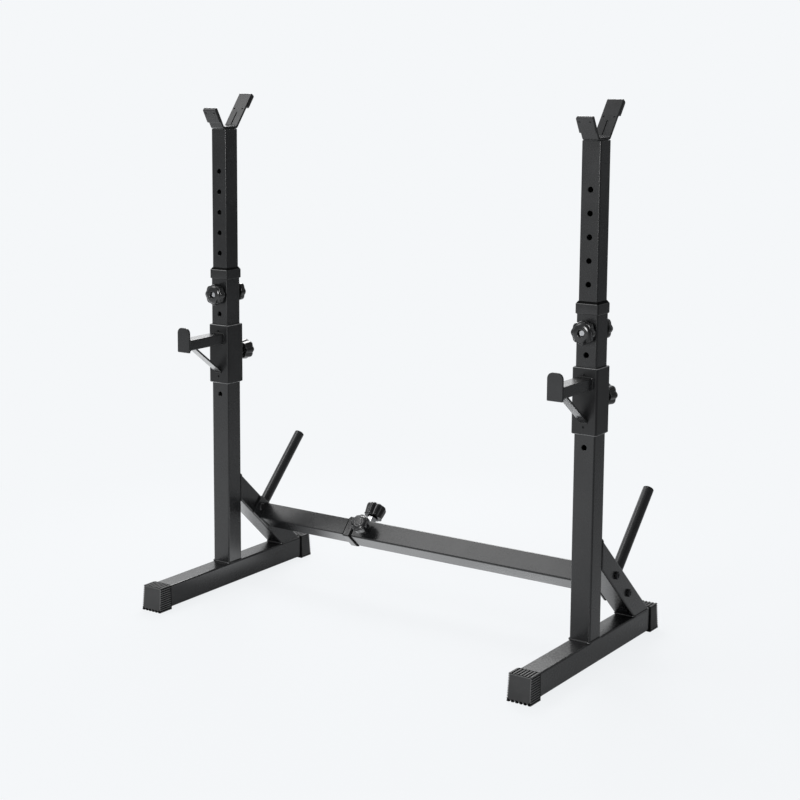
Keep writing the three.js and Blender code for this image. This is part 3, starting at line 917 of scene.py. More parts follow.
def dressed(
    name: str, parts: list[Part], body: str, nodes: tuple[str, ...] = (), crease: float = 35.0
) -> None:
    """Joins parts to one finished piece.

    Args:
        name: The piece's name.
        parts: Meshes with their finishes; the first one's finish gives the material slot.
        body: The CAD body that it rides on.
        nodes: The CAD nodes that it replaces.
        crease: Angle in degrees over which an edge stays sharp.
    """
    work = bmesh.new()
    finishes: list[Finish] = []
    for mesh, finish in parts:
        first = len(work.faces)
        work.from_mesh(mesh)
        if finish not in finishes:
            finishes.append(finish)
        work.faces.ensure_lookup_table()
        for face in work.faces[first:]:
            face.material_index = finishes.index(finish)
            face.smooth = True
        bpy.data.meshes.remove(mesh)
    joined = bpy.data.meshes.new(name)
    work.to_mesh(joined)
    work.free()
    for finish in finishes:
        joined.materials.append(MATERIALS[finish])
    joined.set_sharp_from_angle(angle=math.radians(crease))
    piece = linked("joined", joined)
    piece.modifiers.new("flat faces", "WEIGHTED_NORMAL").keep_sharp = True
    final = taken(piece)
    final.name = name
    made = linked(name, final)
    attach(made, body)
    if nodes:
        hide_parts(*nodes)
    LOG.info("%s: %d faces on %s", name, len(final.polygons), body)


class Rules:
    """The geometry trees, built once, and what is made with them."""

    def __init__(self) -> None:
        """Builds the trees."""
        self.row = row_rule()
        self.bead = bead_rule()
        self.lobes = lobe_rule()
        self.hexagon = hexagon_rule()
        self.thread = thread_rule()

    def weld(self, rings: list[Ring], place: Matrix, radius: float, closed: bool = True) -> Part:
        """Lays painted weld beads.

        Args:
            rings: The paths, in millimetres.
            place: Where they go.
            radius: Of the bead.
            closed: Whether the paths are loops.

        Returns:
            The mesh and its finish.
        """
        path = wire_path(rings, place, closed)
        seed = sum(abs(value) for value in place.translation) % 7
        values = {"Radius": radius * MM, "Pitch": 2.1 * MM, "Seed": seed}
        return self.bead.apply(path, Finish.WELD, **values), Finish.WELD

    def boss_weld(self, place: Matrix, radius: float) -> Part:
        """Lays the weld bead round a nut boss."""
        return self.weld([circle(BOSS_RADIUS + 0.3, 0.6, 32)], place, radius)

    def repeat(self, base: bpy.types.Object, finish: Finish, count: int, step: tuple) -> Part:
        """Repeats an object by a step in millimetres."""
        return self.row.apply(base, finish, Count=count, Step=Vector(step) * MM), finish

    def punches(
        self, place: Matrix, radius: float = HOLE_RADIUS, depth: float = HOLE_DEPTH,
        flare: float = 0.7, count: int = 1, step: tuple = (0, 0, -HOLE_PITCH),
    ) -> bpy.types.Mesh:
        """Makes the punches of a row of holes with softened rims.

        Args:
            place: Frame on the face at the first hole, Z outwards.
            radius: Of the holes.
            depth: How deep they go.
            flare: Extra radius at the face.
            count: How many.
            step: From one to the next.

        Returns:
            The punches as one mesh.
        """
        profile = [(radius + 2 * flare, flare), (radius, -flare), (radius, -depth)]
        return self.repeat(raw([lathe(profile, sides=32)], place), Finish.PAINT, count, step)[0]

    def hexed(
        self, finish: Finish, profile: Profile, across: float, seat: Matrix, reach: float,
        closed: bool = False,
    ) -> Part:
        """Turns a blank and cuts it to a hexagon.

        Args:
            finish: Its finish.
            profile: Of the blank.
            across: Distance of opposite flats.
            seat: Where it goes.
            reach: The longest step to leave in the profile.
            closed: Whether it has a bore.

        Returns:
            The mesh and its finish.
        """
        blank = raw([lathe(fine(profile, reach, closed), closed, 96)])
        mesh = self.hexagon.apply(blank, finish, Across=across * MM)
        mesh.transform(metric(seat))
        return mesh, finish


RULES = Rules()


class Side(Enum):
    """The two stands."""

    LEFT = -1
    RIGHT = 1

    def node(self, part: str) -> str:
        """Name of one of this side's CAD nodes or bodies."""
        return f"{self.name.lower()}_{part}"

    def stand(self) -> Matrix:
        """Frame of the foot: on the floor, in the middle of its length."""
        return shifted(self.value * SPACING / 2, 0, 0)

    def post(self) -> Matrix:
        """Frame of the post: on the floor, under its middle."""
        return shifted(self.value * SPACING / 2, -SETBACK, 0)

    def outwards(self) -> Matrix:
        """Turn of Z away from the other stand."""
        return OUT_RIGHT if self is Side.RIGHT else OUT_LEFT

    def inwards(self) -> Matrix:
        """Turn of Z to the other stand."""
        return OUT_LEFT if self is Side.RIGHT else OUT_RIGHT

    def dress(self, name: str, parts: list[Part], body: str, node: str) -> None:
        """Finishes one of this side's pieces; all names are given without the side."""
        dressed(self.node(name), parts, self.node(body), (self.node(node),))


def front_face(side: float, height: float) -> Matrix:
    """Frame on the front face of a square tube, Z outwards."""
    return shifted(0, -side / 2, height) @ OUT_FRONT


def back_face(side: float, height: float) -> Matrix:
    """Frame on the back face of a square tube, Z outwards."""
    return shifted(0, side / 2, height) @ OUT_BACK


def slope_frame() -> Matrix:
    """Frame of the brace: on the crossbar's axis, Y down the slope, Z out of its upper side."""
    return shifted(0, BAR_REACH, BAR_HEIGHT) @ Matrix.Rotation(-SLOPE, 4, "X")


def bar_frame() -> Matrix:
    """Frame of the crossbar: at its middle, X along it, Z out of its upper side."""
    return shifted(0, -SETBACK, 0) @ slope_frame()


def bar_pin_face() -> Matrix:
    """Frame on the crossbar's upper side at its pin, Z outwards."""
    return bar_frame() @ shifted(BAR_PIN, 0, POST_SIDE / 2)


def bar_clamp_face() -> Matrix:
    """Frame on the crossbar's front side at its clamp, Z outwards."""
    return bar_frame() @ shifted(BAR_CLAMP, -POST_SIDE / 2, 0) @ OUT_FRONT


def boss(height: float = BOSS_HEIGHT) -> Shell:
    """A nut boss on a face, in that face's frame.

    Args:
        height: How far it stands out.

    Returns:
        The boss with its bore.
    """
    bore, radius, edge = PIN_BORE, BOSS_RADIUS, 0.7
    profile = [(bore, -1.0), (radius, -1.0), (radius, height - edge), (radius - edge, height)]
    return lathe([*profile, (bore, height)], closed=True)


@dataclass
class Foot:
    """A foot: its tube and its two ribbed rubber caps.

    A cap is drawn in the frame of its mouth: X across, Y up from the floor, Z out to its end.
    """

    side: Side
    length: float = 606.0
    width: float = 50.0
    height: float = 53.0
    corner: float = 4.0
    base: float = 4.3
    cap_length: float = 42.0
    cap_end: float = 7.8
    cap_lean: float = 5.0
    cap_top: float = 60.0
    cap_half: float = 27.3
    cap_flare: float = 1.2
    cap_corner: float = 5.0
    mouth_band: float = 2.5
    side_rib: float = 1.8
    top_rib: float = 1.8
    sole_rib: float = 3.8
    rib_root: float = 0.4
    top_ribs: int = 7
    side_ribs: int = 11
    sole_ribs: int = 6
    top_share: float = 0.52  # of the pitch that a rib takes up
    side_share: float = 0.44
    sole_share: float = 0.68
    side_start: float = 1.6
    side_clear: float = 6.4
    edge_bar: float = 3.0

    def build(self) -> None:
        """Builds the tube and both caps."""
        half = self.length / 2 - self.cap_end
        tube = Tube(self.width, self.height, WALL, self.corner, -half, half)
        middle = self.side.stand() @ shifted(0, 0, self.base + self.height / 2) @ OUT_BACK
        parts = [solid(Finish.PAINT, [tube.shell()], middle)]
        self.side.dress("foot_rail", parts, "stand", "foot_tube")
        for end, turn in (("front", 0.0), ("rear", 2 * QUARTER)):
            place = self.side.stand() @ Matrix.Rotation(turn, 4, "Z")
            mouth = place @ shifted(0, self.cap_length - self.length / 2, 0) @ OUT_FRONT
            parts = [*self.block(mouth), *self.ribs(mouth)]
            for mesh, _ in parts:
                self.lean(mesh, metric(mouth))
            self.side.dress(f"{end}_cap", parts, "stand", f"foot_cap_{end}")

    def outline(self, inset: float, bottom: float, z: float) -> Ring:
        """The cap's outline.

        Args:
            inset: How far it is drawn in.
            bottom: Height of its underside.
            z: Place along the cap.

        Returns:
            The ring.
        """
        top, corner = self.cap_top - self.top_rib - inset, self.cap_corner - self.side_rib - inset
        low = self.cap_half + self.cap_flare - self.side_rib - inset
        high = self.cap_half - self.side_rib - inset
        ring = [Vector((-low, bottom, z)), Vector((low, bottom, z))]
        for sign, start in ((1, 0), (-1, 1)):
            ring += arc(sign * (high - corner), top - corner, z, corner, start, 6)
        return ring

    def lean(self, mesh: bpy.types.Mesh, mouth: Matrix) -> None:
        """Leans the end of a cap back at the top.

        Args:
            mesh: One of the cap's meshes.
            mouth: Frame of the cap's mouth, in metres.
        """
        inverse = mouth.inverted()
        for vertex in mesh.vertices:
            point = inverse @ vertex.co
            if point.z > (self.cap_length - 2.0) * MM:
                point.z -= self.cap_lean / self.cap_top * point.y
                vertex.co = mouth @ point

    def block(self, mouth: Matrix) -> list[Part]:
        """Builds the hollow core and the fill behind the sole's ribs, near-black as painted shade,
        the end's border, lighter as painted light, and the panel.

        Args:
            mouth: Frame of the cap's mouth.

        Returns:
            The parts.
        """
        length, sole, band = self.cap_length, self.sole_rib, self.mouth_band
        proud = 0.1 - self.side_rib
        steps = (
            (proud, SEAM, 0.0), (proud, SEAM, band), (0.0, sole, band + 0.1),
            (0.0, sole, length - 1.5),
        )
        core = loft([self.outline(*step) for step in steps])
        inner = (self.width + 2 * SEAM, self.height + 2 * SEAM, self.corner)
        hollow = [rounded(*inner, z, steps=3) for z in (length - self.cap_end + SEAM, -1.0)]
        for ring in hollow:
            for point in ring:
                point.y += self.base + self.height / 2
        fill = bar(2 * self.cap_half - 2, sole, 0.5, 0.5, length - 7.0)
        border = ((-0.05, -1.6), (-0.05, -0.9), (0.6, -0.3))
        panel = ((1.6, -0.8), (1.6, -0.25), (1.9, 0.0))
        ends = [
            loft([self.outline(inset, sole + inset, length + z) for inset, z in plan])
            for plan in (border, panel)
        ]
        # The core shows between the ribs and as the mouth band; it and the fill are near-black
        # painted shade, and the border is lighter painted light.
        return [
            solid(Finish.SEAL, [core], mouth, [solid(Finish.SEAL, [loft(hollow)], mouth)[0]]),
            solid(Finish.SEAL, [fill.placed(shifted(0, sole / 2 + 0.15, 0))], mouth),
            solid(Finish.RIB, [ends[0]], mouth),
            solid(Finish.RUBBER, [ends[1]], mouth),
        ]

    def ribs(self, mouth: Matrix) -> list[Part]:
        """Builds the ribs of the top, the sides and the sole, and the bars along the top corners.

        The side ribs are lighter rubber, painted light, and the sole's ribs are near-black, painted
        shade.

        Args:
            mouth: Frame of the cap's mouth.

        Returns:
            The parts.
        """
        turn = (mouth.to_3x3() @ Vector((1, 0, 0))).x
        along = (self.mouth_band - 0.2, self.cap_length - 0.1, 0.3)

        def row(finish: Finish, count: int, size: tuple, at: tuple, step: tuple) -> Part:
            """Lays a row of ribs, given by the width, height and corner of one."""
            return RULES.repeat(
                raw([bar(*size, *along)], mouth @ shifted(*at, 0)), finish, count, step
            )

        span = 2 * (self.cap_half - self.cap_corner + 1.5)
        pitch = span / (self.top_ribs - 1)
        deep = self.top_rib + self.rib_root
        at = (-span / 2, self.cap_top - deep / 2)
        size = (pitch * self.top_share, deep, 0.5)
        parts = [row(Finish.RUBBER, self.top_ribs, size, at, (turn * pitch, 0, 0))]
        # The side ribs are lighter rubber, painted light on their faces.
        rise = (self.cap_top - self.side_clear - self.side_start) / (self.side_ribs - 1)
        lean = self.cap_flare / self.cap_top * rise
        deep = self.side_rib + self.rib_root
        for sign in (-1, 1):
            at = (sign * (self.cap_half + self.cap_flare - deep / 2), self.side_start)
            step = (-sign * turn * lean, 0, rise)
            size = (deep, rise * self.side_share, 0.4)
            parts.append(row(Finish.RIB, self.side_ribs, size, at, step))
        corner = self.cap_half - 1.6
        edge = bar(self.edge_bar, self.edge_bar, 1.2, *along)
        edges = [edge.placed(shifted(x, self.cap_top - 1.8, 0)) for x in (-corner, corner)]
        parts.append(solid(Finish.RUBBER, edges, mouth))
        # The sole's ribs are near-black, painted shade under the cap.
        span = 2 * (self.cap_half + self.cap_flare - 4.2)
        pitch = span / (self.sole_ribs - 1)
        size = (pitch * self.sole_share, 2 * self.sole_rib, 1.2)
        at = (-span / 2, self.sole_rib)
        parts.append(row(Finish.SEAL, self.sole_ribs, size, at, (turn * pitch, 0, 0)))
        return parts


def collar(length: float, place: Matrix) -> list[Part]:
    """A moulded collar on the end of a 50 mm tube, with its shoulder near-black as painted shade.

    Args:
        length: How long it is.
        place: Frame with the tube's end at z = 0; the collar reaches down over the tube.

    Returns:
        Its body and its shoulder.
    """
    side, window, lip = 55.0, 46.0, 3.0
    socket, top = POST_SIDE + 2 * SEAM, SEAM + lip
    body = [
        (side - 1.6, 4.6, top - length), (side, 4.0, top - length + 1.2), (side, 4.0, top - 5.9),
        (side - 1.7, 3.6, top - 4.7), (socket + 0.4, 3.4, top - 4.7), (socket, 3.4, top - 4.9),
        (socket, 4.0, top - length),
    ]
    # The shoulder and the window's inner walls are near-black, painted shade.
    shoulder = [
        (side - 1.8, 3.6, top - 4.8), (side - 7.2, 3.8, top - 0.5), (side - 8.0, 3.4, top),
        (window + 0.5, 3.2, top), (window, 3.0, top - 0.4), (window, 3.0, SEAM),
        (socket - 0.1, 3.4, SEAM), (socket - 0.1, 3.4, top - 4.8),
    ]
    plans = ((Finish.KNOB, body), (Finish.SEAL, shoulder))
    return [solid(finish, [square_stack(plan)], place) for finish, plan in plans]


@dataclass
class Post:
    """An outer post: square tube with hole rows, its nut bosses, its weld and its collar."""

    side: Side
    corner: float = 4.0
    holes: int = 5
    collar_length: float = 27.0

    def build(self) -> None:
        """Builds the post and its collar."""
        place = self.side.post()
        tube = Tube(POST_SIDE, POST_SIDE, WALL, self.corner, POST_BASE, POST_TOP)
        punches, bosses, welds = [], [], []
        for face in (front_face, back_face):
            lock = place @ face(POST_SIDE, LOCK_HEIGHT)
            first = place @ face(POST_SIDE, LOCK_HEIGHT - HOLE_PITCH)
            punches.append(RULES.punches(first, count=self.holes))
            punches.append(RULES.punches(lock, PIN_BORE, flare=PIN_FLARE))
            bosses.append(boss().placed(face(POST_SIDE, LOCK_HEIGHT)))
            welds.append(RULES.boss_weld(lock, 1.4))
        foot_weld = rounded(POST_SIDE + 1.6, POST_SIDE + 1.6, self.corner + 0.6, FOOT_TOP + 1.0)
        parts = [
            solid(Finish.PAINT, [tube.shell()], place, punches),
            solid(Finish.PAINT, bosses, place),
            *welds,
            RULES.weld([foot_weld], place, 2.4),
        ]
        self.side.dress("post_tube", parts, "stand", "outer_post")
        parts = collar(self.collar_length, place @ shifted(0, 0, POST_TOP))
        self.side.dress("collar_ring", parts, "stand", "post_collar")


@dataclass
class Mast:
    """An inner post with its bent bar catch and the catch's plastic liner."""

    side: Side
    length: float = 766.0
    holes: int = 12
    top_hole: float = 102.0
    steel: float = 3.0
    width: float = 38.0
    front: float = 26.0
    rear: float = 25.5
    front_rise: float = 45.0
    rear_rise: float = 77.0
    front_lean: float = math.radians(60)
    rear_lean: float = math.radians(52.5)
    steel_bend: float = 8.0
    liner: float = 2.5
    liner_bend: float = 12.0
    tip_bend: float = 2.6
    leg: float = 36.0
    front_leg: float = 4.3
    rear_leg: float = 6.5
    leg_bevel: float = 0.9
    tip_round: float = 3.5
    slot_width: float = 4.0
    slot_length: float = 38.0
    slot_start: float = 5.0
    dot_radius: float = 2.1
    dot_depth: float = 1.6
    dot_flare: float = 0.2
    dot_spacing: float = 25.0
    front_dots: float = 5.5  # from the front arm's tip down to its small holes
    rear_dots: float = 52.5  # from the rear arm's foot up to its small holes

    def build(self) -> None:
        """Builds the tube, the catch and the liner."""
        place = self.side.post()
        base = MAST_TOP - self.length
        tube = Tube(INNER_SIDE, INNER_SIDE, WALL, INNER_CORNER, base, MAST_TOP)
        first = place @ front_face(INNER_SIDE, MAST_TOP - self.top_hole)
        punches = [RULES.punches(first, count=self.holes)]
        parts = [solid(Finish.PAINT, [tube.shell()], place, punches)]
        self.side.dress("mast_tube", parts, "mast", "inner_post")
        self.catch()
        self.lining()

    def line(self) -> Profile:
        """Middle line of the steel strip.

        Returns:
            Its points in the YZ plane.
        """
        level = MAST_TOP + SEAM + self.steel / 2
        return [
            (-self.front - self.front_rise / math.tan(self.front_lean), level + self.front_rise),
            (-self.front, level),
            (self.rear, level),
            (self.rear + self.rear_rise / math.tan(self.rear_lean), level + self.rear_rise),
        ]

    def catch(self) -> None:
        """Builds the steel strip and its welds."""
        place, y = self.side.post(), INNER_SIDE / 2 - 0.3
        path = smooth_path(self.line(), [self.steel_bend] * 2)
        strip = ribbon(path, self.steel, self.width - 0.6, 0.9)
        reach, level = (-15.0, -5.0, 5.0, 15.0), MAST_TOP + 0.2
        seams = [[Vector((x, sign * y, level)) for x in reach] for sign in (-1, 1)]
        parts = [solid(Finish.PAINT, [strip], place)]
        parts.append(RULES.weld(seams, place, 1.7, closed=False))
        self.side.dress("catch_strip", parts, "mast", "bar_catch")

    def lining(self) -> None:
        """Builds the liner with its slot, its small holes and its two thick outside legs."""
        place = self.side.post()
        line = [Vector((0, *point)) for point in self.line()]
        away = self.steel / 2 + SEAM + self.liner / 2
        tips = [(line[0] - line[1]).normalized(), (line[3] - line[2]).normalized()]
        outwards = [Vector((0, -tips[0].z, tips[0].y)), Vector((0, tips[1].z, -tips[1].y))]
        legs = [
            self.outside_leg(line[0], tips[0], outwards[0], self.front_leg),
            self.outside_leg(line[3], tips[1], outwards[1], self.rear_leg),
        ]
        out = self.steel / 2 + SEAM + self.front_leg
        front_dots = line[0] - tips[0] * self.front_dots + outwards[0] * out
        line[0] += tips[0] * away
        line[3] += tips[1] * away
        inside, outside = beside(line, away), beside(line, -away)
        path = [
            outside[0] - tips[0] * self.leg, outside[0], *inside, outside[3],
            outside[3] - tips[1] * self.leg,
        ]
        bends = [self.tip_bend] * 2 + [self.liner_bend] * 2 + [self.tip_bend] * 2
        smoothed = smooth_path([(point.y, point.z) for point in path], bends)
        strip = ribbon(smoothed, self.liner, self.width, 1.1)
        middle = inside[2] + tips[1] * (self.slot_start + self.slot_length / 2)
        rear_dots = inside[2] + tips[1] * self.rear_dots
        rear_turn = Matrix.Rotation(self.rear_lean, 4, "X")
        on_rear = rear_turn @ shifted(0, 0, self.liner / 2)
        on_front = Matrix.Rotation(2 * QUARTER - self.front_lean, 4, "X")
        slot = bar(self.slot_width, self.slot_length, 1.9, -0.5, 5.0, 0.1)
        on_arm = shifted(0, middle.y, middle.z) @ rear_turn
        cutters = [solid(Finish.LINER, [slot], place @ on_arm)[0]]
        size, step = (self.dot_radius, self.dot_depth, self.dot_flare), (self.dot_spacing, 0, 0)
        for where, turn in ((rear_dots, on_rear), (front_dots, on_front)):
            start = place @ shifted(-self.dot_spacing / 2, where.y, where.z) @ turn
            cutters.append(RULES.punches(start, *size, 2, step))
        parts = [
            solid(Finish.LINER, [strip], place, cutters[:2]),
            solid(Finish.LINER, [legs[0]], place, cutters[2:]),
            solid(Finish.LINER, [legs[1]], place),
        ]
        self.side.dress("catch_lining", parts, "mast", "catch_liner")

    def outside_leg(self, tip: Vector, along: Vector, out: Vector, thickness: float) -> Shell:
        """A thick leg of the liner on the outside of an arm.

        Args:
            tip: End of the steel's middle line.
            along: Unit vector up the arm.
            out: Unit vector away from the V.
            thickness: Of the leg.

        Returns:
            The leg, centred on x = 0.
        """
        near, corner = self.steel / 2 + SEAM, self.tip_round
        far, top = near + thickness, near + self.liner
        bottom = near + self.liner / 2 - self.leg
        outline = [
            (bottom, near), (bottom, far - 1.2), (bottom + 0.35, far - 0.35), (bottom + 1.2, far)
        ]
        for step in range(7):
            angle = step / 6 * QUARTER
            u, v = corner * math.sin(angle), corner * math.cos(angle)
            outline.append((top - corner + u, far - corner + v))
        outline.append((top, near))
        ring = [tip + along * u + out * v for u, v in outline]
        return slab(ring, self.width / 2 + 0.05, self.leg_bevel, drawn_in)


def beside(path: list[Vector], distance: float) -> list[Vector]:
    """Moves a path of the YZ plane to its left, with mitred corners.

    Args:
        path: The path.
        distance: How far it moves.

    Returns:
        The new path.
    """
    made = []
    last = len(path) - 1
    for i, point in enumerate(path):
        into = (path[max(i, 1)] - path[max(i, 1) - 1]).normalized()
        out = (path[min(i, last - 1) + 1] - path[min(i, last - 1)]).normalized()
        middle = (into + out).normalized()
        normal = Vector((0, -middle.z, middle.y))
        stretch = -normal.y * out.z + normal.z * out.y
        made.append(point + normal * (distance / stretch))
    return made


def drawn_in(ring: list[Vector], inset: float) -> list[Vector]:
    """An outline with each point drawn in towards its middle."""
    middle = sum(ring, Vector()) / len(ring)
    return [point + (middle - point).normalized() * inset for point in ring]


def drawn_across(corners: list[Vector], inset: float) -> list[Vector]:
    """Draws a thin four-cornered outline in across its thickness.

    Args:
        corners: Its corners, the first two along one long side.
        inset: How far.

    Returns:
        The new corners.
    """
    a, b, c, d = corners
    at_start, at_end = (d - a).normalized() * inset, (c - b).normalized() * inset
    return [a + at_start, b + at_end, c - at_end, d - at_start]


@dataclass
class Brace:
    """The sloping brace with the post for spare plates and that post's plug."""

    side: Side
    corner: float = 4.0
    peg_radius: float = 12.5
    peg_length: float = 223.0
    peg_tilt: float = math.radians(3)
    plug_depth: float = 18.0

    def build(self) -> None:
        """Builds the brace and its plate post."""
        place = self.side.post() @ slope_frame()
        slant = math.tan(SLOPE)
        start = (POST_SIDE / 2 + SEAM - BAR_REACH) / math.cos(SLOPE)
        end = (BAR_HEIGHT - POST_BASE) / math.sin(SLOPE)

        def upright(point: Vector) -> float:
            """Slant of the cut against the post."""
            return point.y * slant

        def level(point: Vector) -> float:
            """Slant of the cut on the foot."""
            return -point.y / slant

        tube = Tube(BRACE_SIDE, BRACE_SIDE, WALL, self.corner, start, end, 0.3)
        parts = [solid(Finish.PAINT, [tube.shell(upright, level)], place @ OUT_BACK)]
        for z, cut in ((start + 0.8, upright), (end - 0.9, level)):
            seam = rounded(BRACE_SIDE + 1.0, BRACE_SIDE + 1.0, self.corner + 0.4, z)
            parts.append(RULES.weld([slanted(seam, cut)], place @ OUT_BACK, 1.8))
        self.side.dress("brace_tube", parts, "stand", "brace")
        tilt = Matrix.Rotation(-self.peg_tilt, 4, "X")
        self.peg(place @ shifted(0, 0, BRACE_SIDE / 2) @ tilt)

    def peg(self, place: Matrix) -> None:
        """Builds the plate post and its plug.

        Args:
            place: Frame on the brace, Z along the post.
        """
        radius, inside, top = self.peg_radius, self.peg_radius - WALL, self.peg_length

        def lean(point: Vector) -> float:
            """Slant of the cut on the brace."""
            return point.y * math.tan(self.peg_tilt)

        rings = [
            slanted(circle(radius, SEAM), lean), circle(radius, top - 0.5),
            circle(radius - 0.5, top), circle(inside, top), slanted(circle(inside, SEAM), lean),
        ]
        parts = [solid(Finish.PAINT, [loft(rings, closed=True)], place)]
        parts.append(RULES.weld([slanted(circle(radius + 0.4, 1.0), lean)], place, 1.7))
        self.side.dress("plate_peg", parts, "stand", "plate_post")
        fit, depth = inside - SEAM, self.plug_depth
        profile = [
            (0.1, -depth), (fit - 0.8, -depth), (fit, 1.0 - depth), (fit, SEAM),
            (radius - 0.3, SEAM), (radius, SEAM + 0.5), (radius - 0.2, SEAM + 1.4),
            (radius - 1.3, SEAM + 2.4), (radius - 3.5, SEAM + 2.9), (0.1, SEAM + 3.0),
        ]
        parts = [solid(Finish.KNOB, [lathe(profile)], place @ shifted(0, 0, top))]
        self.side.dress("peg_plug", parts, "stand", "plate_post_plug")


@dataclass
class Hook:
    """A safety hook: sleeve, arm, front plate and gusset, welded together."""

    side: Side
    sleeve_base: float = 515.1
    sleeve_height: float = 145.0
    sleeve_corner: float = 5.0
    wall: float = 4.2
    bevel: float = 1.4
    pin_depth: float = 6.0
    vent_radius: float = 2.6
    vent_depth: float = 3.0
    vent_flare: float = 0.2
    vent_heights: tuple = (644.7, 531.9)
    arm_top: float = 639.6
    arm_width: float = 37.0
    arm_height: float = 25.0
    arm_length: float = 126.4
    arm_wall: float = 2.5
    arm_corner: float = 3.0
    plate_width: float = 37.0
    plate_height: float = 60.0
    plate_drop: float = 5.5
    plate_thickness: float = 5.0
    plate_edge: float = 0.9
    plate_corner: float = 13.0
    plate_foot: float = 2.0
    gusset_width: float = 20.0
    gusset_thickness: float = 5.0
    gusset_edge: float = 0.8
    gusset_inset: float = 27.0
    gusset_drop: float = 72.0

    def build(self) -> None:
        """Builds the four pieces."""
        self.sleeve()
        self.arm()
        self.plate()
        self.gusset()

    def arm_frame(self) -> Matrix:
        """Frame of the arm: on its middle line at the sleeve, Z outwards."""
        return self.side.post() @ front_face(SLEEVE_SIDE, self.arm_top - self.arm_height / 2)

    def sleeve(self) -> None:
        """Builds the sleeve with its rims in lighter paint as a painted highlight, its nut boss and
        two small holes.
        """
        place, corner = self.side.post(), self.sleeve_corner
        base, top = self.sleeve_base, self.sleeve_base + self.sleeve_height
        tube = Tube(SLEEVE_SIDE, SLEEVE_SIDE, self.wall, corner, base, top, self.bevel)
        back = place @ back_face(SLEEVE_SIDE, HOOK_PIN_HEIGHT)
        punches = [RULES.punches(back, PIN_BORE, self.pin_depth, PIN_FLARE)]
        for height in self.vent_heights:
            vent = place @ front_face(SLEEVE_SIDE, height)
            size = (self.vent_radius, self.vent_depth, self.vent_flare)
            punches.append(RULES.punches(vent, *size))
        seam = rounded(self.arm_width + 1.2, self.arm_height + 1.2, self.arm_corner, 0.7)
        parts = [
            solid(Finish.HOOK, [tube.shell()], place, punches),
            # Both rims take the lighter paint of the painted highlight.
            solid(Finish.EDGE, [self.rim(base, 1)], place),
            solid(Finish.EDGE, [self.rim(top, -1)], place),
            solid(Finish.PAINT, [boss()], back),
            RULES.boss_weld(back, 1.5),
            RULES.weld([seam], self.arm_frame(), 1.1),
        ]
        self.side.dress("sleeve_tube", parts, "hook", "hook_sleeve")

    def rim(self, z: float, up: int) -> Shell:
        """A band of lighter paint round an end of the sleeve, a painted highlight of its edge.

        Args:
            z: Height of that end.
            up: Sign of the way from it to the sleeve's middle.

        Returns:
            The edge, a little proud of the sleeve.
        """
        bevel, proud = self.bevel, 0.04
        lip, side = SLEEVE_SIDE - 2 * bevel, SLEEVE_SIDE + proud
        plan = ((lip, z - up * proud), (side, z + up * bevel), (lip, z + up * bevel))
        corner = self.sleeve_corner
        return square_stack([(w, corner - (side - w) / 4, height) for w, height in plan])

    def arm(self) -> None:
        """Builds the arm."""
        section = (self.arm_width, self.arm_height, self.arm_wall, self.arm_corner)
        tube = Tube(*section, SEAM, SEAM + self.arm_length)
        parts = [solid(Finish.PAINT, [tube.shell()], self.arm_frame())]
        self.side.dress("arm_tube", parts, "hook", "hook_arm")

    def plate(self) -> None:
        """Builds the front plate and the weld behind it."""
        base = self.arm_top - self.arm_height - self.plate_drop
        start, edge = SEAM + self.arm_length + SEAM, self.plate_edge
        end = start + self.plate_thickness
        plan = ((edge, start), (0.0, start + edge), (0.0, end - edge), (edge, end))
        rings = [self.outline(*level) for level in plan]
        seam = rounded(self.arm_width - 0.2, self.arm_height + 1.0, self.arm_corner, start - 1.0)
        parts = [
            solid(Finish.PAINT, [loft(rings)], self.side.post() @ front_face(SLEEVE_SIDE, base)),
            RULES.weld([seam], self.arm_frame(), 1.4),
        ]
        self.side.dress("stop_plate", parts, "hook", "hook_plate")

    def outline(self, inset: float, z: float) -> Ring:
        """The plate's outline, square at the bottom and round at the top.

        Args:
            inset: How far it is drawn in.
            z: Place across the plate.

        Returns:
            The ring.
        """
        half, top = self.plate_width / 2 - inset, self.plate_height - inset
        corner, foot = self.plate_corner - inset, self.plate_foot
        corners = (
            (half - foot, inset + foot, foot, -1), (half - corner, top - corner, corner, 0),
            (corner - half, top - corner, corner, 1), (foot - half, inset + foot, foot, 2),
        )
        return [point for x, y, radius, turn in corners for point in arc(x, y, z, radius, turn, 8)]

    def gusset(self) -> None:
        """Builds the flat strip and its two welds."""
        place, half = self.side.post(), self.gusset_width / 2
        under = self.arm_top - self.arm_height - SEAM
        foot = under - self.gusset_drop
        near = -SLEEVE_SIDE / 2 - SEAM
        far = near - self.arm_length - SEAM + self.gusset_inset
        slope = math.atan2(self.gusset_drop, near - far)
        thick_y = self.gusset_thickness / math.sin(slope)
        thick_z = self.gusset_thickness / math.cos(slope)
        corners = ((far, under), (near, foot), (near, foot + thick_z), (far + thick_y, under))
        outline = [Vector((0, *corner)) for corner in corners]
        seams = [
            [Vector((x, y, z)) for x in (1 - half, 0.0, half - 1)]
            for y, z in ((far - 0.4, under - 0.2), (near + 0.2, foot - 0.6))
        ]
        strip = slab(outline, half, self.gusset_edge, drawn_across)
        parts = [solid(Finish.PAINT, [strip], place), RULES.weld(seams, place, 1.5, closed=False)]
        self.side.dress("gusset_strip", parts, "hook", "hook_gusset")


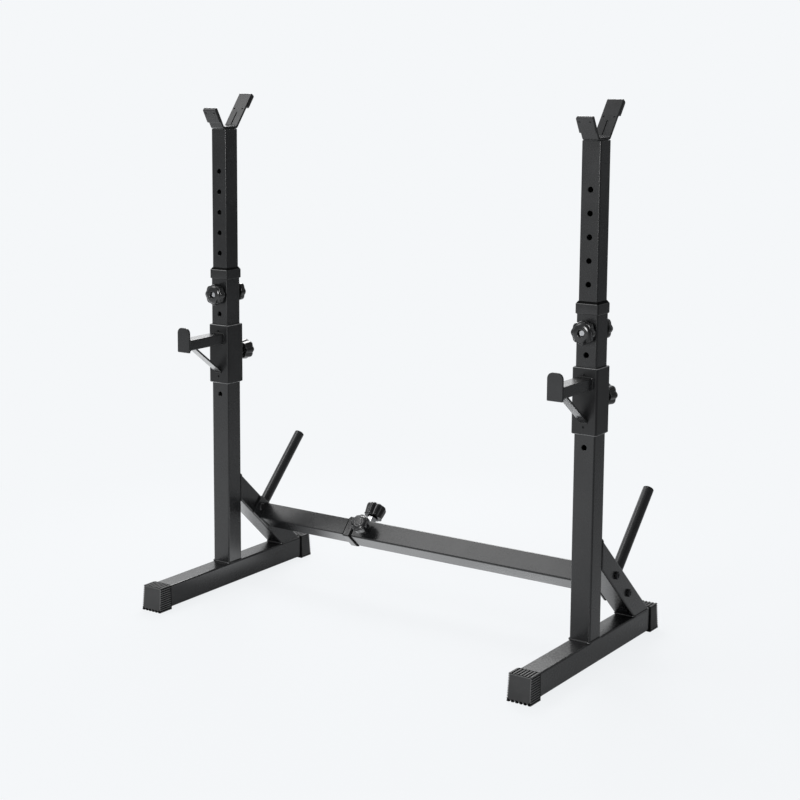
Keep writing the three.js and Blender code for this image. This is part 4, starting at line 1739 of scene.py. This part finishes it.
@dataclass
class StarKnob:
    """A low lobed knob on a pin or screw; a closed one stands on a hub."""

    radius: float = 26.2
    hub: float = 8.5
    depth: float = 19.5
    lobes: int = 8
    dip: float = 0.1
    eye: float = 7.0  # depth of the open eye
    cover: float = 4.3  # over the end of the screw
    valley: float = 4.6
    sharp: float = 0.6

    def head(self, open_eye: bool) -> bpy.types.Mesh:
        """Builds the knob in its own frame.

        Args:
            open_eye: Whether its face shows the end of the pin.

        Returns:
            The mesh, in metres.
        """
        r, top, bore = self.radius, self.depth, PIN_BORE
        profile = [
            (r - 4, 0.0), (r - 1.2, 0.9), (r, 2.6), (r, top - 6.5), (r - 0.5, top - 5.2),
            (r - 1.7, top - 4.3), (r - 3.6, top - 4.0), (r - 4.2, top - 4.4), (r - 4.8, top - 3.9),
            (r - 6.2, top - 2.5), (r - 8.6, top - 1.3), (r - 11.5, top - 0.6),
        ]
        if open_eye:
            profile += [
                (11.8, top - 0.3), (9.8, top), (8.6, top - 0.2), (7.7, top - 1.4),
                (7.5, top - self.eye), (bore, top - self.eye), (bore, 9.0), (13.0, 9.0),
                (13.0, 0.0),
            ]
        else:
            foot, end = -self.hub, top - self.cover
            hub = [(bore, end), (bore, foot), (9.0, foot), (9.7, foot + 0.7), (9.7, 0.0)]
            face = [(11.0, top - 0.9), (9.4, top - 0.7), (8.8, top - 0.1), (8.0, top), (0.1, top)]
            profile = hub + profile + face
        blank = raw([lathe(fine(profile, 1.2, open_eye), open_eye, 112)])
        values = {
            "Lobes": self.lobes, "Depth": self.dip, "Inner_Radius": (r - self.valley) * MM,
            "Outer_Radius": r * MM, "Sharp": self.sharp,
        }
        return RULES.lobes.apply(blank, Finish.KNOB, **values)


@dataclass
class GripKnob:
    """A tall lobed knob, narrower at its foot, with a hollow for the plunger's housing."""

    radius: float = 25.5
    foot: float = 23.5
    depth: float = 33.0
    lobes: int = 8
    dip: float = 0.12
    cover: float = 6.0  # over the end of the pin
    valley: float = 15.0
    sharp: float = 0.8

    def head(self) -> bpy.types.Mesh:
        """Builds the knob in its own frame.

        Returns:
            The mesh, in metres.
        """
        r, f, top = self.radius, self.foot, self.depth
        profile = [
            (PIN_BORE, top - self.cover), (PIN_BORE, 9.0), (14.0, 9.0), (14.0, 0.0),
            (f - 1.0, 0.0), (f, 0.6), (f, 2.2), (f - 0.8, 3.0), (r - 0.9, 16.0), (r, 24.0),
            (r - 0.5, 27.6), (r - 2.2, 30.4), (r - 5.5, 32.0), (13.0, top - 0.2), (0.1, top),
        ]
        blank = raw([lathe(fine(profile, 1.3, False), sides=128)])
        values = {
            "Lobes": self.lobes, "Depth": self.dip, "Inner_Radius": self.valley * MM,
            "Outer_Radius": f * MM, "Sharp": self.sharp,
        }
        return RULES.lobes.apply(blank, Finish.KNOB, **values)


@dataclass
class Plunger:
    """A pin or screw with its knob on a face of a tube."""

    name: str
    face: Matrix
    nose: float
    lift: float
    body: str
    pin_node: str
    knob_node: str
    radius: float = 5.0
    thread_pitch: float = 1.5
    thread_crest: float = 0.4
    housing_across: float = 23.0

    def shank(self, length: float, thread: tuple = (), head: float = 0.0) -> None:
        """Builds the pin.

        Args:
            length: Of the whole pin.
            thread: Where its thread starts and ends, from its nose; empty for a plain pin.
            head: How much wider its outer end is.
        """
        side, neck = self.radius - 0.2, length - 1.4
        profile = [
            (0.1, 0.0), (side - 1.4, 0.0), (side - 0.3, 1.0), (side, 1.6), (side, neck),
            (side + head, neck), (side + head, length - 0.8), (side - 1.0 + head, length),
            (0.1, length),
        ]
        start = self.face @ shifted(0, 0, -self.nose)
        parts = [solid(Finish.CHROME, [lathe(profile, sides=32)], start)]
        if thread:
            low, high = thread
            values = {
                "Radius": (self.radius - 0.25) * MM, "Turns": (high - low) / self.thread_pitch,
                "Height": (high - low) * MM, "Crest": self.thread_crest * MM,
            }
            helix = RULES.thread.apply(wire_path([], start), Finish.CHROME, **values)
            helix.transform(metric(start @ shifted(0, 0, low)))
            parts.append((helix, Finish.CHROME))
        dressed(f"{self.name}_shank", parts, self.body, (self.pin_node,))

    def knob(self, mesh: bpy.types.Mesh) -> None:
        """Places the knob's head on its pin.

        Args:
            mesh: The head, in its own frame.
        """
        mesh.transform(metric(self.face @ shifted(0, 0, self.lift)))
        parts = [(mesh, Finish.KNOB)]
        dressed(f"{self.name}_head", parts, self.body, (self.knob_node,), crease=50.0)

    def housing(self, fixed_body: str) -> None:
        """Builds the bright hexagonal housing between the boss and the knob.

        Args:
            fixed_body: The CAD body that it rides on.
        """
        bore, seat = PIN_BORE, self.face @ shifted(0, 0, BOSS_HEIGHT)
        profile = [(bore, 0.0), (12.6, 0.0), (13.1, 0.4), (13.1, 13.0), (11.2, 14.6), (bore, 14.6)]
        part = RULES.hexed(Finish.CHROME, profile, self.housing_across, seat, 0.9, closed=True)
        dressed(f"{self.name}_housing", [part], fixed_body)


@dataclass
class Crossbar:
    """The telescoping crossbar: two tubes with flanges, a collar and the fasteners."""

    flange_face: float = 474.7
    outer_length: float = 686.0
    outer_corner: float = 4.0
    inner_length: float = 560.0
    flange_length: float = 110.0
    flange_corner: float = 4.0
    flange: float = 5.0
    collar_length: float = 22.0
    clamp_boss: float = 11.0
    bolt_spacing: float = 84.0
    bolt_radius: float = 4.6
    hex_across: float = 17.0
    hex_face: float = 7.6
    hex_head: float = 6.4
    nut: float = 6.0
    holes_in: int = 2
    holes_out: int = 3

    def build(self) -> None:
        """Builds the tubes, the collar and the bolts."""
        self.outer()
        self.inner()
        open_end = self.flange_face - self.outer_length
        mouth = bar_frame() @ shifted(open_end, 0, 0) @ OUT_LEFT
        # A near-black matte ring at the collar's end: painted shade for the dark gap between the
        # collar and the tube.
        plan = [(50.6, 4.6, -23.0), (54.4, 4.6, -23.0), (54.4, 4.6, -18.4), (50.6, 4.6, -18.4)]
        painted_shade_ring = solid(Finish.SEAL, [square_stack(plan)], mouth)
        parts = [*collar(self.collar_length, mouth), painted_shade_ring]
        dressed("crossbar_collar_ring", parts, "right_stand", ("crossbar_collar",))
        for side in Side:
            self.fasteners(side)

    def flanged(
        self, side: Side, width: float, corner: float, length: float,
        punches: list[bpy.types.Mesh],
    ) -> list[Part]:
        """Builds a tube with its flange and its weld.

        Args:
            side: The stand that it is bolted to.
            width: Side of the tube.
            corner: Radius of its corners.
            length: From the flange's outer face to the open end.
            punches: What is cut out of it.

        Returns:
            The parts.
        """
        out = bar_frame() @ shifted(side.value * self.flange_face, 0, 0) @ side.outwards()
        wall = Tube(width, width, WALL, corner, -length, -self.flange / 2).shell()
        flange = bar(BRACE_SIDE, self.flange_length, self.flange_corner, -self.flange, 0.0, 0.8)
        seam = rounded(width + 1.2, width + 1.2, corner + 0.6, -self.flange - 0.9)
        return [
            solid(Finish.PAINT, [wall], out, punches), solid(Finish.PAINT, [flange], out),
            RULES.weld([seam], out, 1.9),
        ]

    def outer(self) -> None:
        """Builds the outer tube with its two nut bosses."""
        top, front = bar_pin_face(), bar_clamp_face()
        punches = [RULES.punches(face, PIN_BORE, flare=PIN_FLARE) for face in (top, front)]
        parts = [
            *self.flanged(Side.RIGHT, POST_SIDE, self.outer_corner, self.outer_length, punches),
            solid(Finish.PAINT, [boss().placed(top), boss(self.clamp_boss).placed(front)]),
            RULES.boss_weld(top, 1.5),
            RULES.boss_weld(front, 1.5),
        ]
        dressed("crossbar_outer_tube", parts, Side.RIGHT.node("stand"), ("crossbar_outer",))

    def inner(self) -> None:
        """Builds the inner tube with its row of holes."""
        first = bar_frame() @ shifted(BAR_PIN - self.holes_in * HOLE_PITCH, 0, INNER_SIDE / 2)
        count = self.holes_in + 1 + self.holes_out
        punches = [RULES.punches(first, count=count, step=(HOLE_PITCH, 0, 0))]
        parts = self.flanged(Side.LEFT, INNER_SIDE, INNER_CORNER, self.inner_length, punches)
        dressed("crossbar_inner_tube", parts, Side.LEFT.node("stand"), ("crossbar_inner",))

    def fasteners(self, side: Side) -> None:
        """Builds the two bolts and nuts of one stand.

        Args:
            side: The stand.
        """
        place, sign = bar_frame(), side.value
        step = (place.to_3x3() @ Vector((0, 1, 0))) * self.bolt_spacing
        first = place @ shifted(0, -self.bolt_spacing / 2, 0)
        head_seat = first @ shifted(sign * (self.flange_face - self.flange - SEAM), 0, 0)
        nut_seat = first @ shifted(sign * (SPACING / 2 + BRACE_SIDE / 2 + SEAM), 0, 0)
        rim, face = self.hex_across / math.sqrt(3), self.hex_face
        head, nut = self.hex_head, self.nut
        bore, reach = self.bolt_radius, self.flange + BRACE_SIDE + 3 * SEAM + nut + 2.0
        head_profile = [(0.1, 0.0), (rim, 0.0), (rim, head - 1.4), (face, head), (0.1, head)]
        nut_profile = [
            (bore + 0.3, 0.0), (face, 0.0), (rim, 1.2), (rim, nut - 1.2), (face, nut),
            (bore + 0.3, nut),
        ]
        stem_profile = [
            (0.1, -head / 2), (bore, -head / 2), (bore, reach - 1.0), (bore - 1.0, reach),
            (0.1, reach),
        ]
        zinc, across, out = Finish.ZINC, self.hex_across, side.outwards()
        shapes = [
            RULES.hexed(zinc, head_profile, across, head_seat @ side.inwards(), 1.0),
            RULES.hexed(zinc, nut_profile, across, nut_seat @ out, 1.0, closed=True),
            solid(zinc, [lathe(stem_profile, sides=28)], head_seat @ out),
        ]
        parts = [RULES.repeat(linked("bolt", mesh), zinc, 2, step) for mesh, _ in shapes]
        kinds = ("upper_bolt", "upper_nut", "lower_bolt", "lower_nut")
        nodes = tuple(side.node(kind) for kind in kinds)
        dressed(side.node("fasteners"), parts, side.node("stand"), nodes, crease=30.0)


@dataclass
class Controls:
    """All pins, screws and knobs."""

    star_lift: float = 8.0
    clamp_lift: float = 20.5
    grip_lift: float = 22.0
    pin_rise: float = 1.5  # of a pin's end out of the bottom of the open eye
    hook_nose: float = 3.0
    star: StarKnob = field(default_factory=StarKnob)
    small_star: StarKnob = field(default_factory=lambda: StarKnob(radius=23.5))
    grip: GripKnob = field(default_factory=GripKnob)

    def build(self) -> None:
        """Builds the sets of both stands and of the crossbar."""
        for side in Side:
            place = side.post()
            self.star_set(side.node("lock"), place @ front_face(POST_SIDE, LOCK_HEIGHT), "pin")
            self.star_set(side.node("clamp"), place @ back_face(POST_SIDE, LOCK_HEIGHT), "screw")
            face = place @ back_face(SLEEVE_SIDE, HOOK_PIN_HEIGHT)
            self.grip_set(side.node("hook"), face, self.hook_nose, side.node("hook"), "knob")
        self.grip_set("crossbar", bar_pin_face(), WALL, "right_stand", "pin_knob")
        self.clamp_set("crossbar_clamp", bar_clamp_face())

    def star_set(self, name: str, face: Matrix, kind: str) -> None:
        """Builds a pin or screw with an open star knob on a post.

        Args:
            name: Its body and the start of its nodes' names.
            face: Frame on the post's face.
            kind: What its node is called, pin or screw.
        """
        made = Plunger(name, face, WALL, self.star_lift, name, f"{name}_{kind}", f"{name}_knob")
        length = WALL + self.star_lift + self.star.depth - self.star.eye + self.pin_rise
        made.shank(length, (WALL + 1, WALL + 8) if kind == "screw" else (), 1.7)
        made.knob(self.star.head(True))

    def clamp_set(self, name: str, face: Matrix) -> None:
        """Builds the crossbar's clamp, a screw with a closed star knob.

        Args:
            name: Its body and the start of its nodes' names.
            face: Frame on the crossbar's face.
        """
        made = Plunger(name, face, WALL, self.clamp_lift, name, f"{name}_screw", f"{name}_knob")
        length = WALL + self.clamp_lift + self.small_star.depth - self.small_star.cover
        made.shank(length, (WALL + 2, WALL + 12))
        made.knob(self.small_star.head(False))

    def grip_set(self, name: str, face: Matrix, nose: float, fixed: str, knob: str) -> None:
        """Builds a pin with a tall knob and the housing that it slides in.

        Args:
            name: Start of the names of its body and its nodes.
            face: Frame on the tube's face.
            nose: How far the pin reaches in.
            fixed: The body that the housing rides on.
            knob: What the knob's node is called after that start.
        """
        nodes = (f"{name}_pin", f"{name}_{knob}")
        made = Plunger(f"{name}_plunger", face, nose, self.grip_lift, f"{name}_lock", *nodes)
        made.shank(nose + self.grip_lift + self.grip.depth - self.grip.cover - SEAM)
        made.knob(self.grip.head())
        made.housing(fixed)


# Studio


@dataclass
class Studio:
    """The pale floor and backdrop, the lamps and the camera."""

    backdrop: tuple = (0.913, 0.930, 0.947)
    floor_colour: tuple = (0.86, 0.875, 0.89)
    floor_glow: float = 0.9
    floor_gloss: float = 0.75
    # Strengths of painted pools of light and depth of a painted shadow on the floor, seen only in
    # gloss.
    floor_left_painted_pool: float = 3.4
    floor_middle_painted_pool: float = 1.9
    floor_painted_spot: float = 5.5
    floor_painted_shadow_depth: float = 0.78
    ambient: float = 0.45
    right_dim: float = 0.2
    front_dim: float = 0.42
    high_dim: float = 0.5
    floor_right: float = 0.8
    floor_far: float = 0.7
    camera_place: tuple = (2.1235, -3.2303, 1.3048)
    camera_pitch: float = -8.34
    camera_yaw: float = 36.05
    focal_pixels: float = 1698.53
    centre_pixels: tuple = (318.05, 308.59)
    frame_pixels: float = 800.0
    sensor: float = 36.0

    def build(self) -> None:
        """Builds all of it."""
        self.camera()
        self.world()
        self.floor()
        self.lamp("key", (-2.2, -1.5, 3.3), (0.0, 0.0, 0.3), 2.0, 30.0)
        self.lamp("top", (-1.4, 1.9, 2.6), (-0.1, 0.1, 0.2), 1.6, 70.0)
        self.lamp("left panel", (-2.1, 1.75, 1.5), (-0.5, -0.1, 0.64), 1.0, 4.2)
        self.lamp("right panel", (-0.6, 2.1, 1.55), (0.5, -0.1, 0.64), 1.0, 2.4)
        self.lamp("front", (0.2, -3.9, 1.5), (0.0, 0.0, 0.6), 1.0, 60.0)
        bpy.context.scene.view_settings.view_transform = "Standard"

    def camera(self) -> None:
        """Places the camera as fitted to the photograph."""
        data = bpy.data.cameras.new("camera")
        data.sensor_fit = "HORIZONTAL"
        data.sensor_width = self.sensor
        data.lens = self.sensor * self.focal_pixels / self.frame_pixels
        half, (x, y) = self.frame_pixels / 2, self.centre_pixels
        data.shift_x = (half - x) / self.frame_pixels
        data.shift_y = (y - half) / self.frame_pixels
        data.clip_end = 200.0
        made = linked("camera", data)
        made.location = self.camera_place
        pitch, yaw = math.radians(self.camera_pitch), math.radians(self.camera_yaw)
        made.rotation_euler = (QUARTER + pitch, 0, yaw)
        bpy.context.scene.camera = made

    def world(self) -> None:
        """Makes the backdrop; gloss sees it dimmer to the right, to the front and high up."""
        world = bpy.data.worlds.new("studio")
        world.use_nodes = True
        g = Graph(world.node_tree)
        seen, gloss, through = g.rays("Camera", "Glossy", "Transmission")
        shown = g.math("MAXIMUM", g.math("MAXIMUM", seen, gloss), through)
        x, y, z = g.axes(g.wire("ShaderNodeTexCoord", "Generated"))
        right = 1 - g.clamp(x, -0.4, 0.6) * (1 - self.right_dim)
        front = 1 - g.clamp(0 - y, -0.4, 0.6) * (1 - self.front_dim)
        high = 1 - g.clamp(z, 0.2, 0.34) * g.clamp(y, 0.3, 0.6) * self.high_dim
        strengths = (self.ambient, g.math("MAXIMUM", seen, right * front * high))
        light, back = (
            g.wire("ShaderNodeBackground", 0, None, {"Color": (*self.backdrop, 1), "Strength": s})
            for s in strengths
        )
        mixed = g.wire("ShaderNodeMixShader", 0, None, {0: shown, 1: light, 2: back})
        g.node("ShaderNodeOutputWorld", None, {"Surface": mixed})
        bpy.context.scene.world = world

    def floor(self) -> None:
        """Lays a wide floor of the backdrop's colour that keeps the stand's soft shadow.

        The camera sees it blend into the backdrop; gloss sees it dimmer far away and to the
        right, brighter in painted pools of light behind the stand, and darker in a painted shadow
        from the left foot rightwards.
        """
        mesh = bpy.data.meshes.new("floor")
        ring = circle(60000, 0, 64)
        mesh.from_pydata([point * MM for point in ring], [], [tuple(range(len(ring)))])
        made = linked("floor", mesh)
        g = MaterialGraph("studio_floor")
        seen, gloss = g.rays("Camera", "Glossy")
        distance = g.wire("ShaderNodeVectorMath", 1, {"operation": "LENGTH"}, {0: g.place})
        x, y, _ = g.axes(g.place)
        ends = {"From Min": 0.7, "From Max": 1.7, "To Min": self.floor_glow, "To Max": 1.0}
        share = g.smooth(distance, ends)

        def band(value: Wire, rise: tuple, fall: tuple) -> Wire:
            """1 between a rise and a fall that are given by their ends."""
            return g.clamp(value, *rise) * (1 - g.clamp(value, *fall))

        far = 1 - g.clamp(distance, 1.0, 8.0) * self.floor_far
        dim = (1 - g.clamp(x, -0.1, 1.2) * self.floor_right) * far
        # A painted shadow on the floor, seen only in gloss, from the left foot to the right and
        # behind.
        shade = self.floor_painted_shadow_depth - g.clamp(x, 0.2, 0.4) * 0.3
        painted_shadow_beside_stand = 1 - g.clamp(x, -0.52, -0.48) * g.clamp(y, -0.45, -0.25) * shade
        # Painted pools of light on the floor, seen only in gloss: one left of the stand reaching
        # behind, one behind its middle and a small spot.
        near = (-0.1, 0.05)
        left = (1 - g.clamp(x, -0.7, -0.62)) * band(y, near, (0.28, 0.4)) * self.floor_left_painted_pool
        even = self.floor_middle_painted_pool - g.clamp(x, -0.1, 0.1) * 0.4
        middle = band(x, (-0.41, -0.34), (0.38, 0.5)) * band(y, near, (0.19, 0.24)) * even
        spot = band(x, (0.02, 0.08), (0.24, 0.3)) * band(y, (0.19, 0.22), (0.3, 0.36))
        light = dim * painted_shadow_beside_stand + left + middle + spot * self.floor_painted_spot
        plain = g.wire("ShaderNodeBsdfDiffuse", 0, None, {"Color": (*self.floor_colour, 1)})
        sockets = {"Color": (*self.backdrop, 1), "Strength": seen + (1 - seen) * light}
        glow = g.wire("ShaderNodeEmission", 0, None, sockets)
        factor = seen * share + gloss * self.floor_gloss
        mixed = g.wire("ShaderNodeMixShader", 0, None, {0: factor, 1: plain, 2: glow})
        g.node("ShaderNodeOutputMaterial", None, {"Surface": mixed})
        mesh.materials.append(g.material)

    def lamp(self, name: str, place: tuple, target: tuple, size: float, power: float) -> None:
        """Hangs a soft square lamp.

        Args:
            name: Its name.
            place: Where it hangs.
            target: What it faces.
            size: Length of its side.
            power: In watts.
        """
        data = bpy.data.lights.new(name, "AREA")
        data.energy = power
        data.size = size
        made = linked(name, data)
        made.location = place
        aim = Vector(target) - Vector(place)
        made.rotation_euler = aim.to_track_quat("-Z", "Y").to_euler()
        made.visible_camera = False


def main() -> None:
    """Builds the stand piece by piece, then the studio."""
    logging.basicConfig(level=logging.INFO, format="%(name)s %(message)s")
    for side in Side:
        for part in (Foot(side), Post(side), Mast(side), Brace(side), Hook(side)):
            part.build()
    Crossbar().build()
    Controls().build()
    Studio().build()


if __name__ == "__main__":
    main()
